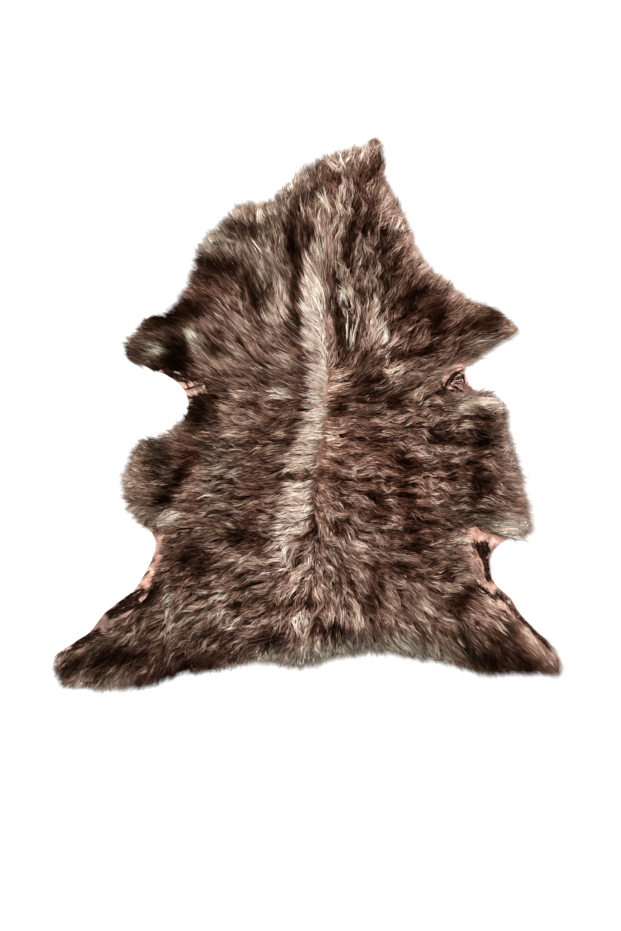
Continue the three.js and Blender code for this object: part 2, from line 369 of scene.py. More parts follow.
# %% [markdown]
# ## The undercoat
#
# Under the long wool lies a felted mat of short fibres that hides the skin, its colour darkened by painted
# shade.
# We take the solid once more, draw its rim locks back to the skin's edge, and lower its top.
# Around the bare patches the mat sinks into the skin, so that thin wool stands on pink skin there.
# The long wool then grows out of this mat, and its painted shade makes the gaps between the locks look
# dark, as shade does in real wool.

# %% Make the undercoat
MAT_SHARE = 0.5
MAT_FOOT = 0.4 * SKIN_THICKNESS
MAT_INSET = 2.5 * MM
MAT_SINK = 3.5 * MM
MAT_BARE, MAT_FULL = 6 * MM, 11 * MM
TINY = 1e-9


def edge_slope(x, y):
    """The way inward from the edge at many places, as a unit vector."""
    slope_x = look_up(inside_chart, x + CHART_STEP, y) - look_up(inside_chart, x - CHART_STEP, y)
    slope_y = look_up(inside_chart, x, y + CHART_STEP) - look_up(inside_chart, x, y - CHART_STEP)
    slope = np.maximum(np.hypot(slope_x, slope_y), TINY)
    return slope_x / slope, slope_y / slope


mat = copy_of_solid("undercoat")
points = corners_of(mat)
short = np.maximum(MAT_INSET - look_up(inside_chart, points[:, 0], points[:, 1]), 0)
in_x, in_y = edge_slope(points[:, 0], points[:, 1])
points[:, 0] += in_x * short
points[:, 1] += in_y * short
bare_share = 1 - smooth_step(look_up(top_chart, points[:, 0], points[:, 1]), MAT_BARE, MAT_FULL)
points[:, 2] *= MAT_SHARE * (1 - look_up(thin_chart, points[:, 0], points[:, 1]))
points[:, 2] += MAT_FOOT - MAT_SINK * bare_share
points[:, 2] = np.maximum(points[:, 2], MAT_FOOT)
mat.data.vertices.foreach_set("co", points.ravel())
mat.data.update()
smoother = mat.modifiers.new("smoother", "SUBSURF")
smoother.levels = 1
smoother.render_levels = 1
bpy.ops.object.modifier_apply(modifier=smoother.name)
bpy.ops.object.shade_smooth()
print("undercoat:", len(mat.data.polygons), "faces")

# %% [markdown]
# ## The lie of the wool
#
# Wool on a pelt is combed by nature: it flows away from the spine, up towards the neck at the front,
# straight out over the ribs, and down and out over the rump.
# A groomer would draw a few comb strokes and let the hair between them follow.
# Each row is one stroke: where it is, in millimetres from the middle of the back, which way the tips point,
# in degrees from the right, and how far the wool waves from side to side, in millimetres.

# %% Comb the neck and the shoulders
Stroke = namedtuple("Stroke", "x y lie wave")
NECK_STROKES = [
    (-30, 418, 100, 1.5), (24, 430, 95, 1.7), (78, 440, 92, 2.3), (125, 470, 80, 2.5),
    (132, 418, 55, 2.1), (-156, 320, 138, 1.2), (-84, 350, 120, 1.3), (-12, 311, 95, 1.5),
    (60, 311, 90, 2.1), (114, 311, 80, 2.3), (150, 330, 55, 2.1), (186, 311, 32, 1.7),
    (-120, 365, 112, 1.3),
]
SHOULDER_STROKES = [
    (-192, 235, 152, 0.6), (-138, 220, 135, 0.7), (-84, 220, 108, 0.9), (-48, 220, 96, 1.0),
    (6, 225, 120, 0.6), (34, 200, 88, 0.7), (69, 220, 98, 2.4), (132, 220, 78, 2.2), (168, 220, 66, 2.0),
    (204, 225, 52, 1.6), (245, 215, 36, 1.2), (-282, 130, 162, 0.6), (-192, 130, 135, 0.7),
    (-102, 130, 134, 0.8), (-30, 130, 142, 0.8), (6, 130, 158, 0.5), (36, 130, 92, 0.6),
    (69, 150, 108, 2.4), (123, 148, 80, 1.8), (168, 148, 52, 1.8), (222, 160, 40, 1.6),
    (276, 150, 25, 1.2), (330, 160, 14, 1.0), (320, 118, 12, 0.8), (130, 94, 34, 1.8), (215, 94, 20, 1.6),
    (90, 100, 70, 1.8),
]
print("strokes:", len(NECK_STROKES), "on the neck,", len(SHOULDER_STROKES), "on the shoulders")

# %% Comb the ribs
RIB_STROKES = [
    (-192, 58, 152, 0.7), (-102, 58, 150, 0.8), (-30, 58, 166, 0.7), (8, 60, 165, 0.5), (60, 58, 10, 1.4),
    (130, 58, 4, 2.0), (240, 58, 14, 1.6), (-192, -13, 168, 1.2), (-102, -13, 172, 1.4),
    (-30, -13, 200, 1.4), (20, 0, 190, 0.8), (80, -13, -2, 2.2), (180, -13, 2, 2.4), (300, -13, -4, 1.6),
    (345, 5, 4, 1.2), (-290, -70, 160, 1.3), (-310, -121, 174, 1.2), (-230, -121, 176, 1.3),
    (-102, -121, 178, 1.5), (-34, -121, 190, 1.0), (44, -121, -14, 2.4), (110, -121, -8, 2.8),
    (210, -121, -4, 2.8), (320, -121, -14, 1.8), (375, -130, -10, 1.2), (-300, -190, 190, 1.4),
    (-192, -193, 185, 1.3), (-84, -193, 183, 1.7), (-30, -200, 196, 1.5), (40, -193, -34, 2.4),
    (132, -193, -12, 2.4), (240, -193, -4, 2.0), (370, -200, 4, 2.2),
]
print("strokes on the ribs:", len(RIB_STROKES))

# %% Comb the rump
RUMP_STROKES = [
    (-192, -265, 185, 1.7), (-84, -265, 195, 2.0), (-20, -265, 228, 2.6), (42, -265, -48, 1.8),
    (78, -265, -36, 1.6), (168, -265, -12, 1.6), (258, -265, 2, 1.4), (-282, -337, 226, 1.6),
    (-192, -337, 202, 1.8), (-102, -337, 194, 2.0), (-12, -337, 250, 2.4), (30, -337, -70, 1.6),
    (132, -337, -46, 1.4), (204, -337, -52, 1.2), (258, -330, -10, 1.6), (330, -355, -32, 0.8),
    (-372, -418, 212, 1.6), (-282, -409, 220, 1.7), (-192, -400, 214, 1.8), (-102, -395, 205, 1.9),
    (-12, -390, 250, 2.2), (50, -390, -80, 1.4), (168, -405, -48, 1.0), (258, -409, -58, 1.0),
    (312, -409, -45, 0.9), (402, -420, -40, 0.8), (-410, -470, 225, 1.6), (-330, -490, 246, 1.6),
    (-220, -462, 250, 1.6), (-100, -448, 262, 1.6), (0, -452, 272, 0.8), (110, -428, -84, 0.8),
    (220, -445, -72, 0.8), (330, -465, -66, 0.8), (430, -462, -52, 0.8),
]
print("strokes on the rump:", len(RUMP_STROKES))

# %% Comb the spine
SPINE_STROKES = [
    (16, 285, 112, 0.5), (14, 255, 124, 0.4), (14, 215, 134, 0.4), (14, 180, 144, 0.4),
    (16, 145, 154, 0.4), (18, 100, 158, 0.4), (20, 70, 160, 0.4), (18, 35, 166, 0.4), (20, -5, 172, 0.6),
    (15, -45, 176, 0.8), (8, -85, 180, 0.9), (1, -125, 184, 1.0), (-8, -165, 184, 1.2),
    (-10, -220, 205, 1.8), (38, 285, 86, 0.6), (40, 250, 84, 0.6), (42, 165, 84, 0.6), (46, 115, 62, 0.8),
    (48, 75, 16, 0.8), (46, 30, -4, 1.0), (50, -20, -6, 1.2), (43, -60, -10, 1.6), (37, -100, -16, 2.0),
    (30, -150, -34, 2.2),
]
print("strokes along the spine:", len(SPINE_STROKES))

# %% Spread the strokes over the pelt
STROKE_ROWS = NECK_STROKES + SHOULDER_STROKES + RIB_STROKES + RUMP_STROKES + SPINE_STROKES
STROKES = [Stroke(*row) for row in STROKE_ROWS]
STROKE_SPREAD = 11 * MM
STROKE_FALL = 1.5
STRAIGHT_WAVE = 0.5 * MM
WAVE_GAIN = 1.35
lie_x, lie_y, wave_chart, weights = np.zeros((4, *grid_x.shape))
for stroke in STROKES:
    x, y = from_back(stroke.x, stroke.y)
    weight = 1 / ((grid_x - x) ** 2 + (grid_y - y) ** 2 + STROKE_SPREAD**2) ** STROKE_FALL
    lie_x += weight * math.cos(math.radians(stroke.lie))
    lie_y += weight * math.sin(math.radians(stroke.lie))
    wave_chart += weight * stroke.wave * MM
    weights += weight
wave_chart = np.maximum(wave_chart / weights - STRAIGHT_WAVE, 0) * WAVE_GAIN
print("comb strokes:", len(STROKES), "mean wave, mm:", round(wave_chart.mean() / MM, 1))

# %% [markdown]
# ## The colour of the wool
#
# The pelt is brown, from nearly black to taupe, with a cream stripe down the spine.
# Every strand takes one tone, from 0, black, to 1, white, and one warmth, from 0, grey, to 1, red-brown.
# Broad soft patches make the pelt darker or lighter, and the stripe follows the spine.
# Each row is one patch: where it is, how long and wide, how it is turned, and what it adds to the tone
# and to the warmth.
# Chance then makes neighbouring locks, and neighbouring strands, differ.

# %% Place the patches of the neck
Patch = namedtuple("Patch", "x y long wide turn tone warm")
NECK_PATCHES = [
    (128, 488, 8, 16, -15, -0.2, 0.2), (115, 475, 16, 10, 75, 0.28, 0), (115, 440, 14, 18, 0, -0.18, 0.2),
    (60, 460, 32, 14, 18, 0.13, 0), (25, 445, 6, 14, 20, -0.15, 0), (60, 425, 16, 6, 0, -0.35, 0),
    (85, 430, 12, 16, 0, 0.08, 0.1), (115, 415, 12, 15, -10, -0.15, 0.2), (-20, 410, 20, 10, 40, 0.15, 0),
    (40, 405, 12, 16, 0, -0.1, 0.3), (10, 390, 6, 8, 0, -0.2, 0), (-15, 375, 8, 18, -10, -0.22, 0),
    (60, 385, 6, 32, -8, 0.2, 0), (80, 360, 8, 26, -10, 0.1, -0.1), (5, 355, 12, 14, 0, 0.16, 0),
    (-85, 362, 40, 12, 10, 0.13, 0.1), (-105, 330, 26, 10, 5, -0.25, 0), (-140, 330, 14, 14, 0, -0.1, 0),
    (-28, 320, 8, 26, 4, -0.22, 0), (5, 320, 9, 16, 10, -0.22, 0.1), (32, 330, 14, 24, 0, 0.12, 0.2),
    (-60, 320, 12, 15, 0, 0.1, 0), (160, 350, 14, 50, 30, 0.18, 0.4), (95, 375, 10, 14, 0, -0.08, 0.2),
    (85, 332, 8, 8, 0, -0.25, 0), (125, 325, 30, 6, -8, -0.3, 0), (165, 320, 15, 6, 10, -0.28, 0),
    (75, 285, 8, 15, 0, -0.32, 0), (95, 290, 8, 15, 0, 0.12, 0), (130, 298, 26, 16, 0, -0.08, -0.1),
    (110, 260, 40, 50, 0, 0.05, 0), (-145, 312, 20, 10, -40, 0.12, -0.1),
    (-75, 282, 18, 22, -40, 0.15, 0), (-22, 285, 8, 16, 4, -0.28, 0), (-185, 298, 24, 8, 40, 0.1, -0.2),
    (-170, 268, 36, 14, -12, -0.28, 0.1), (195, 300, 60, 9, -55, 0.2, 0.3),
    (180, 275, 14, 18, -40, -0.08, 0.3), (-120, 310, 90, 60, 0, 0, -0.2), (-70, 395, 40, 25, 0, 0, -0.2),
    (40, 390, 40, 40, 0, 0.02, 0.1),
]
print("patches on the neck:", len(NECK_PATCHES))

# %% Place the patches of the shoulders
SHOULDER_PATCHES = [
    (-165, 245, 30, 14, 0, -0.1, 0.1), (-190, 230, 14, 26, 0, -0.1, 0.2),
    (-128, 195, 24, 28, 0, 0.04, 0.2), (-96, 210, 6, 22, 18, -0.3, 0),
    (-215, 185, 34, 14, 10, -0.28, 0.2), (-258, 165, 22, 9, 15, -0.28, 0),
    (-270, 110, 10, 12, -30, 0.36, -0.5), (-203, 133, 9, 16, 25, 0.5, -0.3),
    (-230, 112, 15, 15, 0, -0.26, 0), (-165, 112, 16, 8, 0, -0.2, 0), (-238, 82, 28, 12, -18, -0.34, 0),
    (-312, 105, 12, 10, 0, -0.16, 0), (-120, 162, 12, 10, 0, 0.14, 0), (-160, 165, 16, 10, 0, 0.06, 0),
    (-48, 182, 10, 26, -12, 0.34, 0.1), (-55, 230, 8, 15, 0, 0.14, 0), (-24, 215, 8, 28, -10, -0.28, 0),
    (-12, 160, 8, 24, -10, -0.22, 0), (-70, 135, 12, 8, -45, 0.14, 0), (-38, 95, 14, 9, -55, 0.26, 0),
    (-80, 152, 12, 8, 0, -0.14, 0), (10, 103, 14, 4, -10, -0.3, 0), (-165, 85, 22, 10, -10, 0.16, 0),
    (56, 225, 6, 18, 15, -0.25, 0), (70, 205, 9, 20, 15, 0.38, 0), (60, 150, 6, 32, 5, -0.25, 0),
    (86, 140, 6, 20, 15, -0.28, 0.1), (102, 235, 12, 10, 0, 0.15, 0), (110, 215, 12, 12, 0, -0.14, 0),
    (125, 160, 12, 26, 8, 0.26, 0.1), (108, 128, 14, 12, 0, 0.18, 0.2),
    (132, 225, 20, 18, 0, -0.06, -0.1), (150, 255, 14, 18, 10, -0.18, 0), (175, 200, 20, 9, 25, -0.22, 0),
    (205, 212, 16, 10, 20, -0.25, 0.2), (235, 178, 12, 28, -12, -0.26, 0.3),
    (242, 200, 10, 9, 0, 0.12, 0.4), (190, 168, 22, 10, 15, -0.14, 0), (216, 130, 12, 8, 0, 0.1, -0.1),
    (242, 140, 10, 8, 0, -0.18, 0), (225, 115, 20, 6, 5, -0.18, 0), (190, 101, 20, 5, 5, -0.26, 0),
    (155, 125, 12, 9, 0, 0.15, 0), (272, 115, 14, 10, 0, -0.16, 0), (312, 155, 30, 10, 5, -0.26, 0.3),
    (312, 126, 20, 8, 20, 0.1, -0.2), (335, 176, 10, 8, -30, -0.15, 0.2),
    (364, 152, 12, 8, -45, 0.22, 0.3), (270, 208, 28, 9, -28, 0.12, 0.3),
    (225, 262, 50, 9, -50, 0.2, 0.3), (150, 75, 18, 8, -12, 0.34, 0), (115, 87, 20, 7, 5, -0.2, 0.1),
    (105, 56, 12, 8, 0, -0.22, 0), (132, 60, 8, 12, 0, -0.25, 0), (55, 72, 16, 22, 0, 0.05, 0.2),
    (256, 78, 24, 12, 15, 0.24, 0.4), (215, 175, 50, 50, 0, -0.04, 0.25),
    (-285, 110, 50, 45, 0, 0, -0.25), (-245, 135, 50, 40, 0, -0.14, 0), (10, 210, 40, 50, 0, 0, -0.1),
]
print("patches on the shoulders:", len(SHOULDER_PATCHES))

# %% Place the patches of the ribs
RIB_PATCHES = [
    (-195, 15, 12, 20, 0, -0.34, 0), (-200, -15, 10, 16, 0, -0.4, 0), (-172, 18, 16, 22, 0, -0.2, 0),
    (-138, 15, 22, 20, 0, 0.1, 0.1), (-135, -22, 24, 18, 0, 0.12, 0.1), (-82, 3, 28, 14, 0, -0.08, 0.3),
    (-75, -45, 34, 7, -5, -0.14, 0.2), (-45, 36, 15, 9, -35, 0.34, -0.2), (-70, 26, 8, 6, 0, 0.16, 0),
    (-12, 30, 12, 15, 0, -0.2, 0), (-165, -70, 26, 10, 0, -0.08, -0.2),
    (-150, -112, 24, 14, 0, 0.06, -0.2), (-264, -75, 12, 24, 30, -0.22, -0.3),
    (-290, -50, 8, 10, -40, -0.12, 0), (-302, -120, 16, 40, 0, 0.06, 0),
    (-268, -115, 12, 18, 0, -0.08, -0.1), (-245, -120, 6, 10, 20, 0.22, -0.2),
    (-260, -145, 8, 8, -40, 0.22, -0.3), (-238, -126, 42, 8, 54, -0.42, 0.1),
    (-258, -160, 14, 8, 10, -0.28, 0), (-205, -130, 12, 30, 0, 0.05, 0.4),
    (-222, -55, 14, 20, 0, -0.05, 0.3), (-255, -186, 22, 12, -12, 0.24, -0.4),
    (-92, -140, 18, 48, 0, -0.05, 0.3), (-140, -190, 20, 8, 0, -0.1, 0),
    (-100, -210, 14, 14, 0, -0.14, 0), (-58, -190, 10, 24, 0, 0.1, 0), (-30, -115, 8, 7, 0, -0.16, 0),
    (-3, -118, 5, 8, 0, -0.3, 0), (-15, -115, 22, 10, 0, -0.14, 0), (72, 52, 15, 18, 0, 0, 0.3),
    (76, 30, 10, 10, 0, 0.02, 0.2), (60, 10, 11, 12, 0, -0.34, 0), (115, 30, 16, 8, -20, -0.24, 0),
    (160, 14, 13, 9, -20, -0.32, 0), (58, -30, 9, 22, 0, 0.02, 0.4), (105, -5, 12, 8, 0, -0.16, 0),
    (90, -65, 32, 26, 0, 0.04, 0.4), (132, -60, 20, 14, 0, -0.14, 0.3), (188, -50, 14, 20, 0, 0.08, -0.1),
    (238, -44, 24, 7, -5, -0.26, 0), (224, -77, 10, 11, 0, 0.24, -0.1), (175, -88, 10, 8, -45, -0.26, 0),
    (210, -92, 14, 6, 0, -0.16, 0), (62, -90, 12, 6, 0, -0.18, 0), (80, -108, 18, 7, 0, 0.18, -0.1),
    (78, -123, 28, 5, 0, -0.24, 0.1), (106, -157, 10, 5, -45, 0.22, 0), (120, -150, 10, 6, -30, -0.2, 0),
    (174, -122, 9, 28, 0, -0.2, 0.3), (216, -130, 24, 20, 0, 0.1, 0.2),
    (260, -115, 10, 8, -20, -0.28, 0.1), (278, -98, 12, 14, 0, 0.1, 0.2),
    (192, -165, 8, 15, 0, -0.22, 0.3), (325, -10, 15, 12, 0, -0.22, 0.2),
    (322, -50, 16, 13, 0, -0.36, 0.1), (288, -5, 8, 26, 12, 0.1, -0.1), (325, 18, 28, 7, -12, 0.36, -0.1),
    (310, -112, 8, 34, 4, -0.2, 0.2), (328, -138, 28, 6, 52, -0.18, 0), (360, -40, 9, 44, 5, 0.16, 0.1),
    (386, -140, 9, 32, 10, 0.16, 0.2), (332, -85, 18, 14, 0, 0.02, 0.2),
    (378, -170, 14, 12, -30, 0.05, 0.4), (380, -202, 28, 12, 0, 0.32, -0.3),
    (320, -190, 24, 14, -10, -0.05, -0.3), (350, -210, 12, 8, -30, -0.2, 0),
    (196, -206, 20, 14, 0, -0.18, 0.2), (55, -180, 16, 9, 0, 0.2, 0.1), (82, -205, 12, 8, 0, 0.18, 0),
    (60, -200, 8, 6, 0, -0.15, 0), (112, -182, 18, 14, 0, -0.08, 0), (140, -175, 9, 18, 15, -0.18, 0),
    (156, -198, 8, 15, 15, 0.1, 0), (-290, -100, 45, 80, 0, 0, -0.05),
    (170, -120, 60, 70, 0, -0.03, 0.25), (-150, -80, 60, 70, 0, 0.04, -0.1),
    (-110, -120, 45, 70, 0, -0.03, 0), (0, -130, 70, 50, 0, 0, 0.15), (220, 40, 50, 30, 0, 0.07, 0.1),
    (14, 160, 18, 80, 0, 0, 0.18), (298, -128, 36, 4, 88, -0.3, 0), (325, -124, 28, 4, 51, -0.1, 0),
]
print("patches on the ribs:", len(RIB_PATCHES))

# %% Place the patches of the rump
RUMP_PATCHES = [
    (-215, -260, 28, 26, 0, -0.22, 0), (-150, -262, 24, 14, 0, 0.06, 0.1),
    (-156, -335, 9, 28, -5, 0.24, 0), (-247, -345, 7, 34, 0, 0.22, -0.3),
    (-125, -346, 16, 7, -12, -0.25, 0), (-100, -310, 15, 12, 0, -0.14, 0),
    (-70, -310, 10, 10, 0, 0.08, -0.1), (-22, -305, 18, 12, 0, 0.1, 0.5),
    (-60, -345, 20, 10, 0, -0.12, 0.1), (-5, -345, 24, 11, 0, -0.25, 0.2),
    (-15, -372, 15, 15, -25, 0.36, 0.1), (-56, -376, 8, 7, 0, 0.22, 0), (-135, -385, 9, 9, 0, 0.22, 0),
    (-55, -408, 20, 13, 0, -0.32, 0.1), (-18, -416, 12, 8, -30, 0.2, 0.4),
    (-165, -395, 13, 8, 0, -0.22, 0), (-90, -365, 20, 12, 0, 0.1, 0), (-215, -370, 26, 20, 0, 0.05, -0.2),
    (-285, -330, 22, 16, 35, -0.32, 0), (-335, -410, 32, 10, 20, 0.06, -0.1),
    (-340, -440, 36, 13, 5, -0.28, 0), (-424, -458, 16, 10, 30, -0.3, 0),
    (-425, -435, 22, 6, 30, 0.16, 0.1), (-430, -414, 26, 6, 30, -0.25, 0),
    (-402, -478, 8, 12, -30, 0.14, 0), (-345, -490, 16, 7, 15, 0.26, -0.2),
    (-375, -475, 12, 10, 30, -0.18, 0), (-235, -470, 60, 10, 14, -0.25, 0.1),
    (-200, -440, 50, 14, 10, -0.1, 0.1), (-50, -248, 14, 20, 0, 0.12, 0),
    (-15, -228, 11, 13, 0, -0.2, 0.1), (-60, -215, 18, 8, 0, 0.08, 0), (-100, -238, 18, 14, 0, -0.12, 0),
    (-95, -268, 40, 10, -22, 0.14, 0), (20, -245, 15, 18, -50, 0.14, 0), (2, -266, 22, 12, 60, 0.18, 0.1),
    (40, -285, 10, 10, 0, 0.2, 0), (58, -290, 6, 14, 0, -0.22, 0), (95, -290, 10, 12, 0, 0.15, 0),
    (110, -255, 18, 7, -10, 0.15, 0), (80, -235, 20, 9, 0, 0.1, 0), (130, -266, 18, 10, -10, -0.1, 0.2),
    (176, -276, 18, 6, -8, -0.28, 0), (195, -236, 14, 10, 0, -0.18, 0.2),
    (255, -298, 11, 12, 0, -0.22, 0.1), (286, -324, 13, 8, 20, -0.28, 0.1),
    (264, -346, 20, 8, 15, -0.22, 0.1), (272, -308, 26, 8, 35, 0.2, 0),
    (290, -235, 13, 13, 45, 0.36, 0.5), (298, -265, 10, 24, 15, 0.15, 0.4),
    (120, -326, 9, 28, 0, -0.18, 0.1), (148, -325, 9, 18, 0, 0.14, 0.1),
    (146, -358, 13, 10, 0, 0.14, 0.3), (180, -320, 8, 18, 20, 0.1, 0), (213, -345, 6, 15, 10, 0.18, 0),
    (30, -322, 15, 10, -30, 0.1, 0.4), (38, -365, 11, 10, 0, 0.25, 0.1), (27, -360, 5, 6, 0, -0.2, 0),
    (42, -393, 20, 10, -10, -0.36, 0.1), (75, -405, 15, 8, -40, -0.12, 0),
    (90, -370, 15, 10, -30, 0.2, 0), (14, -414, 15, 8, -20, 0.14, 0.3),
    (130, -425, 100, 13, 0, 0.1, -0.6), (10, -440, 50, 10, 0, 0.1, -0.5),
    (-75, -440, 15, 9, 0, 0.14, -0.4), (170, -378, 11, 6, -45, 0.2, 0), (175, -405, 14, 9, 0, 0.14, -0.1),
    (206, -395, 6, 15, 20, -0.12, 0), (240, -385, 20, 7, 0, 0.1, 0), (280, -395, 7, 24, 12, -0.16, 0),
    (320, -370, 16, 12, -30, 0.14, 0.3), (338, -347, 26, 8, -25, 0.2, 0.3),
    (372, -362, 24, 7, -36, 0.24, 0.4), (340, -405, 25, 10, -20, -0.16, 0),
    (402, -400, 16, 7, -50, 0.3, 0.4), (416, -424, 20, 8, -45, 0.2, 0.5),
    (330, -450, 28, 12, -20, -0.32, 0), (396, -456, 22, 12, -35, -0.28, 0.2),
    (442, -440, 10, 12, 0, 0.2, 0.3), (300, -440, 15, 14, -40, -0.1, -0.3),
    (-400, -430, 70, 50, 0, 0, -0.2), (-330, -430, 90, 35, 10, -0.07, 0), (5, -335, 45, 45, 0, 0.08, 0),
    (380, -400, 60, 50, 0, 0, 0.1), (360, -435, 50, 24, -20, -0.04, 0),
]
print("patches on the rump:", len(RUMP_PATCHES))

# %% Add the patches up
PATCH_ROWS = NECK_PATCHES + SHOULDER_PATCHES + RIB_PATCHES + RUMP_PATCHES
PATCHES = [Patch(*row) for row in PATCH_ROWS]
PATCH_STRENGTH = 1.2


def chart_patches(column):
    """The sum of all patches over the pelt, for their tone or their warmth."""
    chart = np.zeros(grid_x.shape)
    for patch in PATCHES:
        chart += PATCH_STRENGTH * getattr(patch, column) * np.exp(-0.5 * ellipse(patch) ** 2)
    return chart


patch_tone, patch_warmth = chart_patches("tone"), chart_patches("warm")
print("patches:", len(PATCHES), "tones:", round(patch_tone.min(), 2), "to", round(patch_tone.max(), 2))

# %% [markdown]
# The stripe is a line of knots down the spine, each with the stripe's half width there and how pale it is.
# Just to its right runs a narrow smooth band, pinkish brown, where the wool parts.
# Along the seam between the two the wool is thin, so less painted shade darkens its roots and the undercoat
# there.

# %% Paint the spine stripe and the parting
Knot = namedtuple("Knot", "x y wide tone")
PARTING = [
    Knot(44, 330, 9, 0.48), Knot(38, 270, 12, 0.46), Knot(38, 200, 13, 0.48), Knot(42, 120, 14, 0.52),
    Knot(46, 60, 14, 0.56), Knot(43, 10, 13, 0.55), Knot(38, -40, 13, 0.54), Knot(32, -90, 13, 0.54),
    Knot(28, -140, 12, 0.50), Knot(16, -190, 9, 0.44),
]
PARTING_WARMTH = 0.75
STRIPE = [
    Knot(30, 330, 10, 0.52), Knot(14, 275, 16, 0.72), Knot(11, 220, 21, 0.90), Knot(12, 150, 22, 0.93),
    Knot(18, 100, 22, 0.93), Knot(19, 40, 19, 0.88), Knot(12, -20, 22, 0.80), Knot(-4, -80, 27, 0.84),
    Knot(-14, -140, 27, 0.86), Knot(-24, -195, 28, 0.82), Knot(-36, -245, 22, 0.66),
    Knot(-42, -285, 14, 0.48),
]
STRIPE_WARMTH = 0.6
SEAM = [
    Knot(38, 340, 14, 0.5), Knot(30, 260, 16, 0.9), Knot(31, 60, 16, 1), Knot(30, -10, 15, 0.8),
    Knot(25, -70, 14, 0.9), Knot(16, -140, 13, 0.8), Knot(2, -200, 12, 0.5), Knot(-8, -240, 10, 0),
]
BASE_TONE = 0.412
BASE_WARMTH = 0.62
LINE_EDGE = 0.7, 1.2


def follow_line(knots):
    """How far each place lies within a line's width, from 1 to 0, and the line's tone there."""
    nearest = np.full(grid_x.shape, np.inf)
    line_tone = np.zeros(grid_x.shape)
    for knot, following in zip(knots, knots[1:]):
        away, share = to_segment(*from_back(knot.x, knot.y), *from_back(following.x, following.y))
        off = away / ((knot.wide + (following.wide - knot.wide) * share) * MM)
        closer = off < nearest
        nearest = np.where(closer, off, nearest)
        line_tone = np.where(closer, knot.tone + (following.tone - knot.tone) * share, line_tone)
    return 1 - smooth_step(nearest, *LINE_EDGE), line_tone


tone_chart = np.full(grid_x.shape, BASE_TONE)
warm_chart = np.full(grid_x.shape, BASE_WARMTH)
for knots, warmth in ((PARTING, PARTING_WARMTH), (STRIPE, STRIPE_WARMTH)):
    within, line_tone = follow_line(knots)
    tone_chart += (line_tone - tone_chart) * within
    warm_chart += (warmth - warm_chart) * within
within, line_tone = follow_line(SEAM)
seam_chart = within * line_tone
tone_chart += patch_tone
warm_chart += patch_warmth
print("knots:", len(PARTING), "along the parting,", len(STRIPE), "along the stripe")

# %% [markdown]
# ## Plant the locks
#
# Wool grows in locks: a handful of strands that lean together and meet at the tip.
# We plant the locks on a jittered grid over the skin, fewer of them towards the bare patches.
# Each lock walks out from its root along the lie of the wool, and stops where the rim's wool may end.

# %% Plant the roots of the locks
SEED = 20
LOCK_SPACING = 7.2 * MM
ROOT_MARGIN = 1.0 * MM
BARE_TOP, WOOLLY_TOP = 3.2 * MM, 9.0 * MM
rng = np.random.default_rng(SEED)


def jittered_grid(spacing):
    """Places over the whole pelt, about one spacing apart."""
    across = np.arange(cad_box[0].x, cad_box[1].x, spacing)
    along = np.arange(cad_box[0].y, cad_box[1].y, spacing)
    x, y = (axis.ravel() for axis in np.meshgrid(across, along))
    x = x + rng.uniform(-0.5, 0.5, len(x)) * spacing
    y = y + rng.uniform(-0.5, 0.5, len(y)) * spacing
    on_skin = look_up(inside_chart, x, y) > ROOT_MARGIN
    return x[on_skin], y[on_skin]


def wool_cover(x, y):
    """How woolly the skin is: nothing on a bare patch, one under full wool."""
    return smooth_step(look_up(solid_top, x, y), BARE_TOP, WOOLLY_TOP)


lock_x, lock_y = jittered_grid(LOCK_SPACING)
cover = wool_cover(lock_x, lock_y)
grows = rng.uniform(0, 1, len(lock_x)) < cover
lock_x, lock_y, cover = lock_x[grows], lock_y[grows], cover[grows]
long_count = len(lock_x)
print("locks:", long_count)

# %% Walk the locks out along the lie
LOCK_STEPS = 10
LOCK_LENGTH = 47 * MM
LENGTH_SPREAD = 0.75, 1.15
THIN_LENGTH = 0.35
LIE_SPREAD = math.radians(3)
CURLY_SPREAD = math.radians(3.5)
RIM_SHARE = 0.7, 1.15
TRIM_ROUNDS = 3
TRIM_LEAST = 0.15


def lie_spread(x, y):
    """How much locks stray from the lie of the wool: little where it is straight, more in curls."""
    return LIE_SPREAD + CURLY_SPREAD * look_up(wave_chart, x, y) / MM


def walk_out(x, y, length, turn):
    """Each lock's path over the pelt, as points in the plane from its root to its tip."""
    path = np.empty((len(x), LOCK_STEPS + 1, 2))
    path[:, 0, 0], path[:, 0, 1] = x, y
    for step in range(LOCK_STEPS):
        here = path[:, step]
        heading = np.arctan2(look_up(lie_y, *here.T), look_up(lie_x, *here.T)) + turn
        move = np.stack([np.cos(heading), np.sin(heading)], axis=1)
        path[:, step + 1] = here + move * (length / LOCK_STEPS)[:, None]
    return path


def trim_to_rim(x, y, length, turn, share):
    """Shorten the locks that would hang past the skin's edge by more than a share of the rim's reach."""
    root_depth = look_up(inside_chart, x, y)
    for attempt in range(TRIM_ROUNDS):
        end = walk_out(x, y, length, turn)[:, -1]
        tip_depth = look_up(inside_chart, *end.T)
        allowed = reach_at(*end.T) * share
        keep = (root_depth + allowed) / np.maximum(root_depth - tip_depth, 1e-6)
        length = length * np.where(-tip_depth > allowed, np.clip(keep, TRIM_LEAST, 1), 1)
    return length


lock_turn = rng.normal(0, 1, long_count) * lie_spread(lock_x, lock_y)
full_length = LOCK_LENGTH * rng.uniform(*LENGTH_SPREAD, long_count)
lock_length = full_length * (THIN_LENGTH + (1 - THIN_LENGTH) * cover)
lock_length = trim_to_rim(lock_x, lock_y, lock_length, lock_turn, rng.uniform(*RIM_SHARE, long_count))
print("mean length, mm:", round(lock_length.mean() / MM, 1))

# %% [markdown]
# Where the wool parts, all locks walk away from the parting and leave a bald line.
# On the animal short wool stands there, so we count the locks that pass over each small square,
# and plant short ones where too few do.

